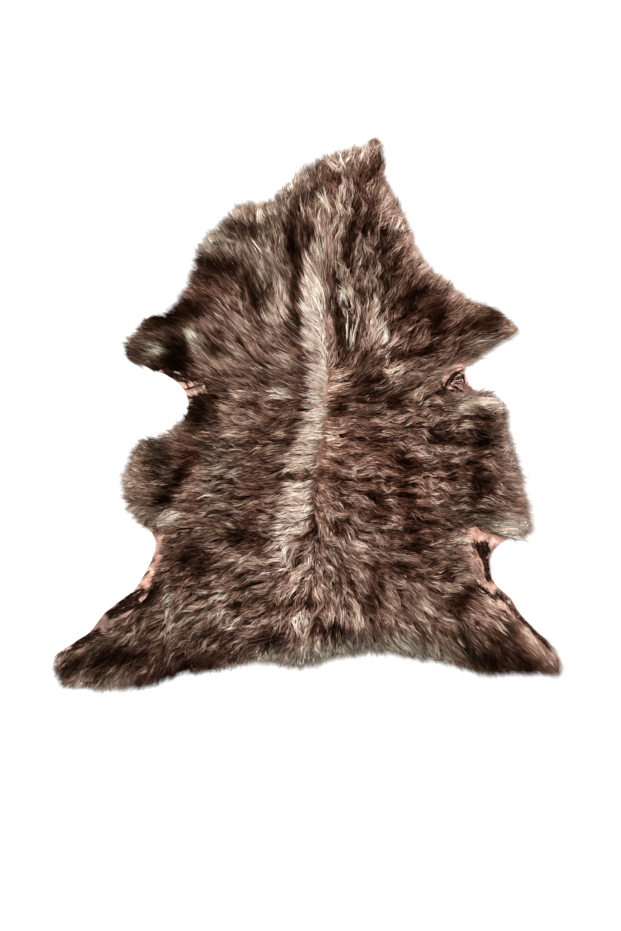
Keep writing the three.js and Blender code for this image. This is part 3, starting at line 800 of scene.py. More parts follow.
# %% Fill the partings with short locks
SQUARE = 8 * MM
SHORT_SPACING = 4.5 * MM
SHORT_LENGTH = 24 * MM
SHORT_SPREAD = 0.6, 1.2
SHORT_COVER = 0.6
THIN_SHARE = 0.55
ROOT_STEPS = 3
edges_x = np.arange(chart_x[0], chart_x[-1] + SQUARE, SQUARE)
edges_y = np.arange(chart_y[0], chart_y[-1] + SQUARE, SQUARE)
passing = walk_out(lock_x, lock_y, lock_length, lock_turn)[:, ROOT_STEPS:].reshape(-1, 2)
counts = np.histogram2d(*passing.T, bins=(edges_x, edges_y))[0]
usual = np.median(counts[counts > 0])
short_x, short_y = jittered_grid(SHORT_SPACING)
square_x = np.clip(((short_x - edges_x[0]) / SQUARE).astype(int), 0, counts.shape[0] - 1)
square_y = np.clip(((short_y - edges_y[0]) / SQUARE).astype(int), 0, counts.shape[1] - 1)
thin = counts[square_x, square_y] < THIN_SHARE * usual
thin &= wool_cover(short_x, short_y) > SHORT_COVER
short_x, short_y = short_x[thin], short_y[thin]
short_count = len(short_x)
short_turn = rng.normal(0, 1, short_count) * lie_spread(short_x, short_y)
short_length = SHORT_LENGTH * rng.uniform(*SHORT_SPREAD, short_count)
short_share = rng.uniform(*RIM_SHARE, short_count)
short_length = trim_to_rim(short_x, short_y, short_length, short_turn, short_share)
lock_x, lock_y = np.append(lock_x, short_x), np.append(lock_y, short_y)
lock_turn, lock_length = np.append(lock_turn, short_turn), np.append(lock_length, short_length)
print("short locks in the partings:", short_count)

# %% [markdown]
# A few locks catch the eye: long pale curls by the whorl, the sweep of cream wool on the right flap,
# the curl on the crown.
# Each row plants a few such locks close together, with a length, a wave, a tone and a warmth of their own.

# %% Plant the locks that catch the eye
Curl = namedtuple("Curl", "x y spread length wave tone warm count")
CURLS = [
    Curl(70, 96, 8, 95, 3.5, 0.76, 0.4, 3), Curl(58, 130, 5, 90, 4.5, 0.08, 0.5, 7),
    Curl(82, 150, 5, 80, 4, 0.1, 0.5, 5), Curl(66, 178, 4, 62, 3, 0.9, 0.4, 3),
    Curl(118, 120, 9, 60, 2, 0.85, 0.6, 8), Curl(140, 78, 6, 40, 3, 0.76, 0.5, 3),
    Curl(312, -202, 9, 100, 3, 0.7, 0.3, 14), Curl(330, -214, 6, 90, 2, 0.82, 0.3, 8),
    Curl(296, 20, 8, 62, 1.5, 0.88, 0.5, 10), Curl(-36, 30, 8, 34, 1, 0.92, 0.3, 7),
    Curl(-222, -188, 14, 60, 2.5, 0.66, 0.1, 12), Curl(-188, 122, 14, 26, 1, 0.52, 0.3, 7),
    Curl(127, 438, 3, 64, 1, 0.28, 0.8, 7), Curl(98, 446, 4, 44, 1.5, 0.85, 0.4, 6),
    Curl(56, 420, 9, 52, 3.5, 0.75, 0.5, 8), Curl(190, -62, 7, 36, 3.5, 0.75, 0.4, 3),
    Curl(70, -190, 8, 40, 2.5, 0.6, 0.5, 4), Curl(60, -352, 10, 40, 2, 0.74, 0.6, 5),
    Curl(-12, -352, 10, 40, 2.5, 0.85, 0.5, 5), Curl(-160, -318, 12, 36, 1.5, 0.66, 0.3, 6),
    Curl(40, 345, 6, 60, 2, 0.85, 0.4, 5), Curl(205, -330, 14, 46, 2, 0.58, 0.4, 5),
    Curl(330, -372, 10, 40, 1.5, 0.75, 0.5, 4),
]
CURL_TURN = math.radians(7)
CURL_LENGTHS = 0.8, 1.1
curl_rows = [curl for curl in CURLS for each in range(curl.count)]
curl_count = len(curl_rows)
curl_place = np.array([from_back(curl.x, curl.y) for curl in curl_rows])
curl_place += rng.normal(0, 0.5, curl_place.shape) * np.array([[curl.spread * MM] for curl in curl_rows])
curl_turn = rng.normal(0, CURL_TURN, curl_count)
curl_length = np.array([curl.length * MM for curl in curl_rows]) * rng.uniform(*CURL_LENGTHS, curl_count)
curl_length = trim_to_rim(*curl_place.T, curl_length, curl_turn, np.ones(curl_count))
print("eye-catching locks:", curl_count)

# %% Join all the locks and cut them back at the bare spots
LOCK_WAVE = 1.28
is_curl = np.arange(len(lock_x) + curl_count) >= len(lock_x)
is_short = (np.arange(len(is_curl)) >= long_count) & ~is_curl
lock_own_tone = np.append(np.full(len(lock_x), np.nan), [curl.tone for curl in curl_rows])
lock_own_warm = np.append(np.full(len(lock_x), np.nan), [curl.warm for curl in curl_rows])
lock_wave = LOCK_WAVE * look_up(wave_chart, lock_x, lock_y)
lock_wave = np.append(lock_wave, [curl.wave * MM for curl in curl_rows])
lock_x, lock_y = np.append(lock_x, curl_place[:, 0]), np.append(lock_y, curl_place[:, 1])
lock_turn, lock_length = np.append(lock_turn, curl_turn), np.append(lock_length, curl_length)
lock_count = len(lock_x)
way_over = walk_out(lock_x, lock_y, lock_length, lock_turn)
over_bare = look_up(bare_chart, way_over[..., 0], way_over[..., 1]) > 0.5
first_bare = np.where(over_bare.any(axis=1), over_bare.argmax(axis=1), LOCK_STEPS)
lock_length = lock_length * np.maximum(first_bare, 1) / LOCK_STEPS
print("locks in all:", lock_count, "cut back at bare spots:", int((first_bare < LOCK_STEPS).sum()))

# %% [markdown]
# Locks lean together in tufts as wide as a thumb, and it is the tufts that one sees from a few steps away.
# Each lock joins the nearest tuft, bends towards it, and shares some of its tone and height.
# A lock between two tufts lies lower than one in the middle of a tuft, and painted shade makes it darker
# while painted light makes the middle paler, above all in curly wool.

# %% Gather the locks into tufts
TUFT_SPACING = 21 * MM
TUFT_TURN = math.radians(14)
TUFT_DEPTH, CURLY_DEPTH = 0.2, 0.3
CORE_EDGE = 0.02, 0.5
CORE_MEAN = 0.6
tuft_x, tuft_y = jittered_grid(TUFT_SPACING)
tuft_tree = tree_of(tuft_x, tuft_y)


def nearest_tuft(x, y):
    """The nearest tuft, and how clearly it is the nearest: from 0, half way to the next, to 1."""
    first, second = tuft_tree.find_n((x, y, 0), 2)
    return first[1], (second[2] - first[2]) / (second[2] + first[2])


near = [nearest_tuft(x, y) for x, y in zip(lock_x, lock_y)]
lock_tuft = np.array([tuft for tuft, gap in near])
lock_gap = np.array([gap for tuft, gap in near])
tuft_wave = look_up(wave_chart, tuft_x, tuft_y) / MM
tuft_turn = rng.normal(0, 1, len(tuft_x)) * (LIE_SPREAD + TUFT_TURN * tuft_wave)
tuft_depth = TUFT_DEPTH + CURLY_DEPTH * tuft_wave
lock_core = (smooth_step(lock_gap, *CORE_EDGE) - CORE_MEAN) * tuft_depth[lock_tuft]
print("tufts:", len(tuft_x))

# %% Bend the locks towards their tufts
TUFT_PULL = 0.62
STRAIGHT_PULL, CURLY_PULL = 0.5, 0.3
AGREE_EDGE = 0.3, 0.85
PULL_POWER = 1.5
lock_path = walk_out(lock_x, lock_y, lock_length, lock_turn)
lead_path = walk_out(tuft_x[lock_tuft], tuft_y[lock_tuft], lock_length, tuft_turn[lock_tuft])
lock_way = lock_path[:, -1] - lock_path[:, 0]
lead_way = lead_path[:, -1] - lead_path[:, 0]
agree = np.sum(lock_way * lead_way, axis=1) / np.maximum(lock_length**2, TINY)
curly_pull = np.clip(STRAIGHT_PULL + CURLY_PULL * tuft_wave[lock_tuft], 0, 1)
pull = TUFT_PULL * smooth_step(agree, *AGREE_EDGE) * curly_pull
share = np.linspace(0, 1, LOCK_STEPS + 1)
lock_path += (lead_path - lock_path) * pull[:, None, None] * (share**PULL_POWER)[None, :, None]
print("mean pull to the tufts:", round(pull.mean(), 2))

# %% [markdown]
# Between the tufts of curly wool run furrows.
# We chart them too: near the line where two tufts meet, the pile sinks a little and painted shade lowers
# its tone, while painted light lifts the tone in the middles of the tufts.

# %% Chart the furrows between the tufts
FURROW_DEPTH = 3.5 * MM
FURROW_FLOOR = 4 * MM
FURROW_WIDTH = 0.4
FURROW_SHADE_TONE = 0.17
FURROW_SHADE_MEAN = 0.36
CURLY_WAVE = 2 * MM
CURLY_LEAST = 0.15


def chart_furrows():
    """One on the line between two tufts, nothing in the middle of a tuft."""
    gaps = np.zeros(grid_x.shape)
    for index in np.ndindex(grid_x.shape):
        gaps[index] = nearest_tuft(grid_x[index], grid_y[index])[1]
    return 1 - smooth_step(gaps, 0, FURROW_WIDTH)


curly_chart = np.clip(wave_chart / CURLY_WAVE, CURLY_LEAST, 1)
furrow_chart = chart_furrows()
furrow_top = top_chart - FURROW_DEPTH * furrow_chart * curly_chart
top_chart = np.maximum(furrow_top, np.minimum(top_chart, FURROW_FLOOR))
# Painted shade in the furrows and painted light in the middles of the tufts.
tone_chart += FURROW_SHADE_TONE * (FURROW_SHADE_MEAN - furrow_chart) * curly_chart
print("furrows cover", round(float((furrow_chart > 0.5).mean()), 2), "of the pelt")

# %% [markdown]
# ## Grow the strands
#
# Every lock gets a handful of strands.
# A strand starts near the lock's root, follows the lock, closes in on its tip, and waves from side to side.
# It climbs from the undercoat to the top of the pile, a little higher or lower than its neighbours,
# so that the strands lie in layers and shade each other.
# A strand is a thin ribbon that tapers to its tip: the cheapest shape that looks like wool from all sides.

# %% Grow the strands along the locks
LOCK_STRANDS, SHORT_STRANDS, CURL_STRANDS = 8, 4, 11
STRAND_POINTS = 6
STRAND_REACH = 0.55, 1.0
ROOT_SPREAD = 5.5 * MM
CURL_SPREAD = 0.5
TIP_CLUMP = 0.5
lock_strands = np.where(is_short, SHORT_STRANDS, LOCK_STRANDS)
lock_strands = np.where(is_curl, CURL_STRANDS, lock_strands)
strand_lock = np.repeat(np.arange(lock_count), lock_strands)
strand_count = len(strand_lock)
along = np.linspace(0, 1, STRAND_POINTS)


def lock_places(share):
    """Points on each strand's lock at a share of its length."""
    step = np.clip(share * LOCK_STEPS, 0, LOCK_STEPS - 1e-6)
    low = step.astype(int)
    part = (step - low)[..., None]
    rows = strand_lock[:, None]
    return lock_path[rows, low] * (1 - part) + lock_path[rows, low + 1] * part


strand_reach = rng.uniform(*STRAND_REACH, strand_count)
strand_path = lock_places(strand_reach[:, None] * along[None, :])
strand_offset = rng.normal(0, ROOT_SPREAD / 2, (strand_count, 2))
strand_offset *= np.where(is_curl, CURL_SPREAD, 1)[strand_lock][:, None]
strand_path += strand_offset[:, None, :] * (1 - TIP_CLUMP * along)[None, :, None]
print("strands:", strand_count)

# %% Wave the strands from side to side
WAVE_LENGTH = 36 * MM
CURL_WAVE_LENGTH = 0.7
WAVE_SPREAD = 0.75, 1.25
WAVE_START = 0.5
LOCK_PHASE, STRAND_PHASE = 0.4, 0.25


def side_of(path):
    """The way to the left of each path at each of its points, as a unit vector."""
    ahead = np.gradient(path, axis=1)
    ahead /= np.maximum(np.linalg.norm(ahead, axis=2, keepdims=True), TINY)
    return np.stack([-ahead[..., 1], ahead[..., 0]], axis=2)


def sway_strands():
    """How far each strand swings to its side at each of its points, in step with its tuft."""
    tuft_phase = rng.uniform(0, math.tau, len(tuft_x))[lock_tuft]
    lock_phase = tuft_phase + rng.normal(0, LOCK_PHASE, lock_count)
    lock_phase = np.where(is_curl, tuft_phase, lock_phase)
    phase = lock_phase[strand_lock] + rng.normal(0, STRAND_PHASE, strand_count)
    wave_length = np.maximum(WAVE_LENGTH, is_curl * lock_length * CURL_WAVE_LENGTH)[strand_lock]
    turns = math.tau * lock_length[strand_lock] * strand_reach / wave_length
    wave = lock_wave[strand_lock] * rng.uniform(*WAVE_SPREAD, strand_count)
    swing = np.sin(phase[:, None] + turns[:, None] * along)
    return wave[:, None] * swing * smooth_step(along, 0, WAVE_START)


strand_side = side_of(strand_path)
strand_sway = sway_strands()
strand_path = strand_path + strand_side * strand_sway[..., None]
print("widest swing, mm:", round(np.abs(strand_sway).max() / MM, 1))

# %% [markdown]
# Wool is springy: a strand climbs from its root, runs along near the top of the pile, and its tip sinks in.
# On the way it rises and falls a little, the crimp, and neighbours in a tuft do so together.
# So the height is the chart's pile top times a level of the strand's own, and a small wave on top.

# %% Lift the strands off the undercoat
LEVEL_LOW, LEVEL_HIGH = 0.78, 1.05
CRIMP_LENGTH = 17 * MM
CRIMP_HEIGHT = 0.9 * MM
LOCK_CRIMP, STRAND_CRIMP = 0.5, 0.35
ROOT_SINK = 1 * MM
TIP_DROOP = 1.5 * MM
CORE_LIFT = 0.16
CURL_LIFT = 0.06
TUFT_LIFT_SPREAD = 0.04
CLIMB_POWER, DROOP_POWER = 2.2, 4


def crimp_strands():
    """Each strand's rise and fall along its length, from -1 to 1, in step with its tuft."""
    run = lock_length[strand_lock][:, None] * along
    phase = rng.uniform(0, math.tau, len(tuft_x))[lock_tuft] + rng.normal(0, LOCK_CRIMP, lock_count)
    phase = phase[strand_lock][:, None] + rng.normal(0, STRAND_CRIMP, (strand_count, 1))
    return np.sin(phase + math.tau * run / CRIMP_LENGTH)


def lift_strands():
    """How high each strand is at each of its points."""
    surface = look_up(top_chart, strand_path[..., 0], strand_path[..., 1])
    root = np.maximum(surface[:, :1] * MAT_SHARE - ROOT_SINK, FLOOR_CLEAR)
    level = rng.uniform(LEVEL_LOW, LEVEL_HIGH, strand_count)[:, None]
    lift = rng.normal(0, TUFT_LIFT_SPREAD, len(tuft_x))[lock_tuft] + CORE_LIFT * lock_core
    lift = np.where(is_curl, CURL_LIFT, lift)
    level = level * (1 + lift[strand_lock][:, None])
    climb = 1 - (1 - along) ** CLIMB_POWER
    height = root + (surface * level - root) * climb
    height = height - TIP_DROOP * along**DROOP_POWER + CRIMP_HEIGHT * strand_crimp * climb
    return np.maximum(height, FLOOR_CLEAR)


strand_crimp = crimp_strands()
strand_height = lift_strands()
print("highest strand, mm:", round(strand_height.max() / MM, 1))

# %% [markdown]
# No two locks are dyed quite alike, and a strand is dark at its root, where little light gets in.
# Each strand reads the tone of its place, slipped a little along the lock so that the patches feather out.
# To that comes chance: some for the tuft, some for the lock and some for the strand, and painted light and
# shade across each tuft.
# Straight wool shows its streaks more than curly wool, and a few strands are paler than the rest.

# %% Give every strand its tone
TUFT_TONE_SPREAD = 0.042
LOCK_TONE_SPREAD = 0.055
STRAND_TONE_SPREAD = 0.035
TIP_TONE_SPREAD = 0.06
STREAKY_MOST, STREAKY_LEAST, STREAKY_FALL = 1.45, 0.85, 0.3
DARK_SHARE, FULL_TONE, CHANCE_LIMITS = 0.3, 0.42, (0.35, 1.15)
CORE_SHADE_TONE = 0.28
PALE_SHARE = 0.11
PALE_TONE = 0.11
PALE_LEAST = 0.3
FEATHER = 5 * MM
MIDDLE_POINT = 3


def tone_of_place():
    """The chart's tone along each strand, slipped a little along its lock."""
    way = strand_path[:, -1] - strand_path[:, 0]
    way = way / np.maximum(np.linalg.norm(way, axis=1, keepdims=True), TINY)
    slip = way * rng.normal(0, FEATHER, lock_count)[strand_lock][:, None]
    slipped = strand_path + slip[:, None, :]
    return look_up(tone_chart, slipped[..., 0], slipped[..., 1])


def tone_by_chance():
    """How much lighter or darker than its place each strand is, by chance and by painted light and shade
    across its tuft; less where the wool is dark.
    """
    streaky = STREAKY_MOST - STREAKY_FALL * look_up(wave_chart, lock_x, lock_y) / MM
    streaky = np.clip(streaky, STREAKY_LEAST, STREAKY_MOST)
    chance = rng.normal(0, TUFT_TONE_SPREAD, len(tuft_x))[lock_tuft]
    # Painted shade darkens locks between tufts and painted light brightens locks in a tuft's middle.
    chance = chance + streaky * rng.normal(0, LOCK_TONE_SPREAD, lock_count) + CORE_SHADE_TONE * lock_core
    chance = chance[strand_lock] + streaky[strand_lock] * rng.normal(0, STRAND_TONE_SPREAD, strand_count)
    pale = rng.uniform(0, 1, strand_count) < PALE_SHARE
    chance = chance + pale * rng.uniform(PALE_LEAST, 1, strand_count) * PALE_TONE
    return chance * np.clip(DARK_SHARE + place_tone[:, MIDDLE_POINT] / FULL_TONE, *CHANCE_LIMITS)


place_tone = tone_of_place()
chance_tone = tone_by_chance()
tip_tone = rng.normal(0, TIP_TONE_SPREAD, lock_count)[strand_lock]
print("tone by chance, spread:", round(chance_tone.std(), 3))

# %% Shade the strands from root to tip
RIM_TONE = 0.06
RIM_EDGE = -3 * MM, 9 * MM
TIP_EDGE = 0.4, 0.9
LOCAL_SHARE = 0.8
CURL_CHANCE = 0.5
CRIMP_SHADE_TONE, CURLY_CRIMP_SHADE_TONE = 0.03, 0.03
ROOT_TONE, SEAM_ROOT_TONE = 0.5, 0.9
ROOT_END = 0.6
TONE_LIMITS = 0.01, 0.97


def shade_strands():
    """Each strand's tone at each of its points, with painted light and shade on its crimp and painted shade
    at its root.
    """
    tone = LOCAL_SHARE * place_tone + (1 - LOCAL_SHARE) * place_tone[:, MIDDLE_POINT, None]
    overhang = -look_up(inside_chart, strand_path[..., 0], strand_path[..., 1])
    tone = tone + chance_tone[:, None] + RIM_TONE * smooth_step(overhang, *RIM_EDGE)
    tone = tone + tip_tone[:, None] * smooth_step(along, *TIP_EDGE)
    own = lock_own_tone[strand_lock] + CURL_CHANCE * chance_tone
    tone = np.where(np.isnan(own)[:, None], tone, own[:, None])
    root_place = strand_path[:, 0].T
    # Painted light on the crests of the crimp and painted shade in its troughs, stronger in curly wool.
    crimp = CRIMP_SHADE_TONE + CURLY_CRIMP_SHADE_TONE * look_up(wave_chart, *root_place) / MM
    tone = np.clip(tone + crimp[:, None] * strand_crimp, *TONE_LIMITS)
    # Painted shade darkens each strand near its root, less along the seam where the wool is thin.
    root = ROOT_TONE + (SEAM_ROOT_TONE - ROOT_TONE) * look_up(seam_chart, *root_place)[:, None]
    return tone * (root + (1 - root) * smooth_step(along, 0, ROOT_END))


strand_tone = shade_strands()
print("mean tone at the tips:", round(float(strand_tone[:, -1].mean()), 3))

# %% Give every strand its warmth
LOCK_WARMTH_SPREAD, STRAND_WARMTH_SPREAD = 0.12, 0.08
WARMTH_LIMITS = 0.05, 0.95
place_warmth = look_up(warm_chart, *strand_path[:, MIDDLE_POINT].T)
own_warmth = lock_own_warm[strand_lock]
strand_warm = np.where(np.isnan(own_warmth), place_warmth, own_warmth)
strand_warm = strand_warm + rng.normal(0, LOCK_WARMTH_SPREAD, lock_count)[strand_lock]
strand_warm = np.clip(strand_warm + rng.normal(0, STRAND_WARMTH_SPREAD, strand_count), *WARMTH_LIMITS)
print("mean warmth:", round(float(strand_warm.mean()), 3))

# %% [markdown]
# ## Turn the strands into meshes
#
# Tens of thousands of strands would be far too slow to model one by one.
# So their corners are worked out together.
# Each strand is a strip of quads with a pointed end.
# Its UV map holds the tone across and the warmth up, so one small dye chart colours all the wool.
# The wool is split by region, to keep each mesh light.

# %% Make a mesh of ribbons
UV_NAME = "OFBake"
UV_HALF_WIDTH = 0.004
ROLL_SPREAD = math.radians(38)
LEAST_HEIGHT = 0.4 * MM
ROOT_WIDTH, SWELL = 0.7, 0.5
TAPER, TAPER_POWER = 1.8, 0.8


def ribbon_corners(path, side, height, width, roll):
    """The corners of tapering ribbons: a pair at each point of a strand, and one at its tip."""
    count, points = height.shape
    share = np.linspace(0, 1, points)
    swell = ROOT_WIDTH + SWELL * np.sin(math.pi * share)
    taper = np.clip((1 - share) * TAPER, 0, 1) ** TAPER_POWER
    half = 0.5 * width[:, None] * swell * taper
    centre = np.concatenate([path, height[..., None]], axis=2)
    lean_side = side * np.cos(roll)[:, None, None]
    lean_up = np.broadcast_to(np.sin(roll)[:, None, None], (count, points, 1))
    across = np.concatenate([lean_side, lean_up], axis=2) * half[..., None]
    pairs = np.stack([centre - across, centre + across], axis=2)[:, :-1]
    corners = np.concatenate([pairs.reshape(count, -1, 3), centre[:, -1:]], axis=1)
    corners[..., 2] = np.maximum(corners[..., 2], LEAST_HEIGHT)
    return corners


def ribbon_mesh(name, path, side, height, tone, warm, width, roll):
    """A joined mesh of tapering ribbons, one for each row."""
    count, points = height.shape
    corners = ribbon_corners(path, side, height, width, roll)
    per_strand = corners.shape[1]
    first = (np.arange(count) * per_strand)[:, None, None]
    rung = (np.arange(points - 2) * 2)[None, :, None]
    quads = first + rung + np.array([0, 1, 3, 2])[None, None, :]
    tip = first[:, 0] + np.array([per_strand - 3, per_strand - 2, per_strand - 1])
    loops = np.concatenate([quads.reshape(count, -1), tip], axis=1).ravel()
    sizes = np.tile(np.append(np.full(points - 2, 4), 3), count)
    starts = np.concatenate([[0], np.cumsum(sizes)[:-1]])
    mesh = bpy.data.meshes.new(name)
    mesh.vertices.add(count * per_strand)
    mesh.vertices.foreach_set("co", corners.astype(np.float32).ravel())
    mesh.loops.add(len(loops))
    mesh.loops.foreach_set("vertex_index", loops.astype(np.int32))
    mesh.polygons.add(len(sizes))
    mesh.polygons.foreach_set("loop_start", starts.astype(np.int32))
    mesh.polygons.foreach_set("loop_total", sizes.astype(np.int32))
    u = np.concatenate([np.repeat(tone[:, :-1], 2, axis=1), tone[:, -1:]], axis=1)
    sides = np.append(np.tile([-1, 1], points - 1), 0) * UV_HALF_WIDTH
    v = np.tile(sides, (count, 1)) + warm[:, None]
    uv = np.stack([u.ravel()[loops], v.ravel()[loops]], axis=1)
    layer = mesh.uv_layers.new(name=UV_NAME)
    layer.data.foreach_set("uv", uv.astype(np.float32).ravel())
    mesh.polygons.foreach_set("use_smooth", np.ones(len(sizes), bool))
    mesh.update()
    mesh.validate()
    piece = bpy.data.objects.new(name, mesh)
    bpy.context.scene.collection.objects.link(piece)
    return piece


print("corners of a strand:", 2 * STRAND_POINTS - 1)

# %% Build the wool by region
STRAND_WIDTH = 1.55 * MM
FINE_WIDTH, CURLY_WIDTH = 0.75, 0.13
WIDTH_SPREAD = 0.6, 1.4
NECK_START, RUMP_START, RIGHT_START = 150 * MM, -190 * MM, 20 * MM
root_x, root_y = strand_path[:, 0].T
is_neck, is_rump, is_right = root_y > NECK_START, root_y < RUMP_START, root_x > RIGHT_START
on_bare = look_up(bare_chart, root_x, root_y) > 0.5
regions = {
    "wool_neck": is_neck,
    "wool_left_side": ~is_neck & ~is_rump & ~is_right,
    "wool_right_side": ~is_neck & ~is_rump & is_right,
    "wool_left_rump": is_rump & ~is_right,
    "wool_right_rump": is_rump & is_right,
}
coarse = FINE_WIDTH + CURLY_WIDTH * look_up(wave_chart, root_x, root_y) / MM
strand_width = STRAND_WIDTH * coarse * rng.uniform(*WIDTH_SPREAD, strand_count)
strand_roll = rng.normal(0, ROLL_SPREAD, strand_count)
wool_pieces = []
for name, region in regions.items():
    chosen = region & ~on_bare
    chosen_count = int(chosen.sum())
    piece = ribbon_mesh(
        name, strand_path[chosen], strand_side[chosen], strand_height[chosen], strand_tone[chosen],
        strand_warm[chosen], strand_width[chosen], strand_roll[chosen])
    wool_pieces.append(piece)
    print(name, chosen_count, "strands,", chosen_count * (2 * STRAND_POINTS - 3), "triangles")

# %% [markdown]
# ## Fuzz at the rim
#
# At the outline single fine hairs stand out past the locks and make the edge soft.
# We let the locks that end at the rim grow a few thin hairs each, longer and less tidy than the wool.

# %% Grow the rim fuzz
FUZZ_PER_LOCK = 8
FUZZ_POINTS = 3
FUZZ_WIDTH, FUZZ_WIDTHS = 0.34 * MM, (0.7, 1.4)
FUZZ_LENGTH = 1.5
FUZZ_NEAR = 3 * MM
FUZZ_SPREAD = 3.5 * MM
FUZZ_TURN = math.radians(16)
FUZZ_REACH, FUZZ_STRAY = 0.7, 2.4
FUZZ_LOW = 0.3
FUZZ_TONE, FUZZ_TONE_SPREAD, FUZZ_TONES = 0.13, 0.12, (0.05, 0.9)
FUZZ_ROOT_TONE = 0.7
FUZZ_COOLER = 0.2
at_rim = np.flatnonzero(look_up(inside_chart, *lock_path[:, -1].T) < FUZZ_NEAR)
fuzz_lock = np.repeat(at_rim, FUZZ_PER_LOCK)
fuzz_count = len(fuzz_lock)
fuzz_x = lock_x[fuzz_lock] + rng.normal(0, FUZZ_SPREAD, fuzz_count)
fuzz_y = lock_y[fuzz_lock] + rng.normal(0, FUZZ_SPREAD, fuzz_count)
fuzz_share = FUZZ_REACH + FUZZ_STRAY * rng.uniform(0, 1, fuzz_count) ** 2
fuzz_turn = lock_turn[fuzz_lock] + rng.normal(0, FUZZ_TURN, fuzz_count)
fuzz_length = trim_to_rim(fuzz_x, fuzz_y, lock_length[fuzz_lock] * FUZZ_LENGTH, fuzz_turn, fuzz_share)
fuzz_walk = walk_out(fuzz_x, fuzz_y, fuzz_length, fuzz_turn)
fuzz_path = fuzz_walk[:, :: LOCK_STEPS // (FUZZ_POINTS - 1)]
fuzz_middle = fuzz_path[:, 1].T
fuzz_along = np.linspace(0, 1, FUZZ_POINTS)
fuzz_top = look_up(top_chart, fuzz_path[..., 0], fuzz_path[..., 1])
fuzz_height = np.maximum(fuzz_top * rng.uniform(FUZZ_LOW, 1, (fuzz_count, 1)), FLOOR_CLEAR)
fuzz_tone = look_up(tone_chart, *fuzz_middle) + rng.normal(FUZZ_TONE, FUZZ_TONE_SPREAD, fuzz_count)
fuzz_fade = FUZZ_ROOT_TONE + (1 - FUZZ_ROOT_TONE) * fuzz_along
fuzz_tone = np.clip(fuzz_tone, *FUZZ_TONES)[:, None] * fuzz_fade
fuzz_warm = np.clip(look_up(warm_chart, *fuzz_middle) - FUZZ_COOLER, *WARMTH_LIMITS)
fuzz = ribbon_mesh(
    "rim_fuzz", fuzz_path, side_of(fuzz_path), fuzz_height, fuzz_tone, fuzz_warm,
    FUZZ_WIDTH * rng.uniform(*FUZZ_WIDTHS, fuzz_count), rng.normal(0, ROLL_SPREAD, fuzz_count))
wool_pieces.append(fuzz)
print("fuzz hairs:", fuzz_count)

# %% [markdown]
# ## Hairs on the bare skin
#
# In the armpits and groins the skin is bare and pink, with short black hairs combed flat on it.
# They stand in a few wisps, each drawn as one row: where it is, how long and wide,
# which way its hairs point, how far they curl to the side, how many there are,
# and how much paler than black they are.
# The last four rows are a small dark swirl that lies on the cream stripe.

# %% Lay the wisps of black hair
Wisp = namedtuple("Wisp", "x y long wide lie curl count tone")
WISPS = [
    Wisp(-241, 68, 15, 6, -30, 1, 110, 0), Wisp(-220, 57, 8, 2.5, -15, 2, 24, 0),
    Wisp(-208, 58, 10, 1.2, -46, 1, 18, 0), Wisp(-202, 58, 7, 1, -35, 0, 12, 0),
    Wisp(-201, 46, 16, 1.2, 20, 1, 24, 0), Wisp(-226, 66, 12, 3, -10, 1, 30, 0),
    Wisp(-200, 60, 12, 6, -30, 1, 46, 0.2), Wisp(-192, 43, 12, 6, 165, 1, 30, 0.36),
    Wisp(-214, 47, 8, 1.5, -60, 1, 8, 0.1), Wisp(-207, 27, 8, 1.8, 0, 0, 26, 0),
    Wisp(-206, 9, 9, 2.5, 0, 0, 26, 0), Wisp(-206, 18, 7, 2, 178, 0, 14, 0),
    Wisp(250, 48, 8, 1.5, 69, -1.5, 12, 0), Wisp(258, 62, 8, 1.5, 53, -1.5, 14, 0),
    Wisp(272, 73, 8, 1.5, 24, -1.5, 14, 0), Wisp(259, 55, 6, 1.2, 66, -1, 10, 0),
    Wisp(267, 66, 7, 1.2, 43, -1.5, 12, 0), Wisp(278, 69, 5, 1.2, -26, -2, 10, 0),
    Wisp(283, 61, 6, 1.2, -82, -1, 10, 0), Wisp(270, 43, 14, 1.5, -30, 1, 22, 0),
    Wisp(276, 62, 5, 3, 20, 3, 12, 0), Wisp(274, 54, 6, 3, -10, -3, 12, 0),
    Wisp(246, 70, 14, 5, 18, 1, 40, 0.36), Wisp(286, 44, 12, 5, -40, 1, 36, 0.3),
    Wisp(304, -244, 12, 9, -55, 2, 26, 0), Wisp(319, -251, 13, 11, -66, 3, 190, 0),
    Wisp(327, -283, 18, 7, -80, 2, 150, 0), Wisp(312, -288, 12, 10, -50, 2, 40, 0.34),
    Wisp(321, -320, 24, 3, -38, 1, 44, 0), Wisp(354, -333, 15, 7, -40, 6, 64, 0),
    Wisp(362, -328, 16, 6, -40, 3, 40, 0.3), Wisp(384, -364, 26, 8, -44, 2, 120, 0.16),
    Wisp(404, -386, 24, 6, -42, 2, 60, 0.02), Wisp(424, -408, 22, 4, -48, 2, 60, 0),
    Wisp(-274, -212, 8, 10, 200, 1, 60, 0.24), Wisp(-282, -228, 6, 8, 230, 2, 14, 0),
    Wisp(-284, -262, 6, 10, 225, 2, 16, 0), Wisp(-294, -288, 9, 8, 210, 2, 18, 0),
    Wisp(-318, -334, 26, 7, 208, 1, 150, 0), Wisp(-330, -352, 30, 8, 206, 1, 200, 0),
    Wisp(-398, -408, 26, 6, 212, 1, 140, 0), Wisp(-30, -115, 5, 4, -40, 3, 18, 0.05),
    Wisp(-20, -111, 6, 2, 12, 2, 8, 0.1), Wisp(-3, -118, 5, 2, 60, 2, 9, 0.05),
    Wisp(5, -110, 6, 2, -50, 1, 6, 0.1),
]
WISP_TURN = math.radians(12)
WISP_CURLS = 0.4, 1.4
WISP_TONES = 0, 0.2


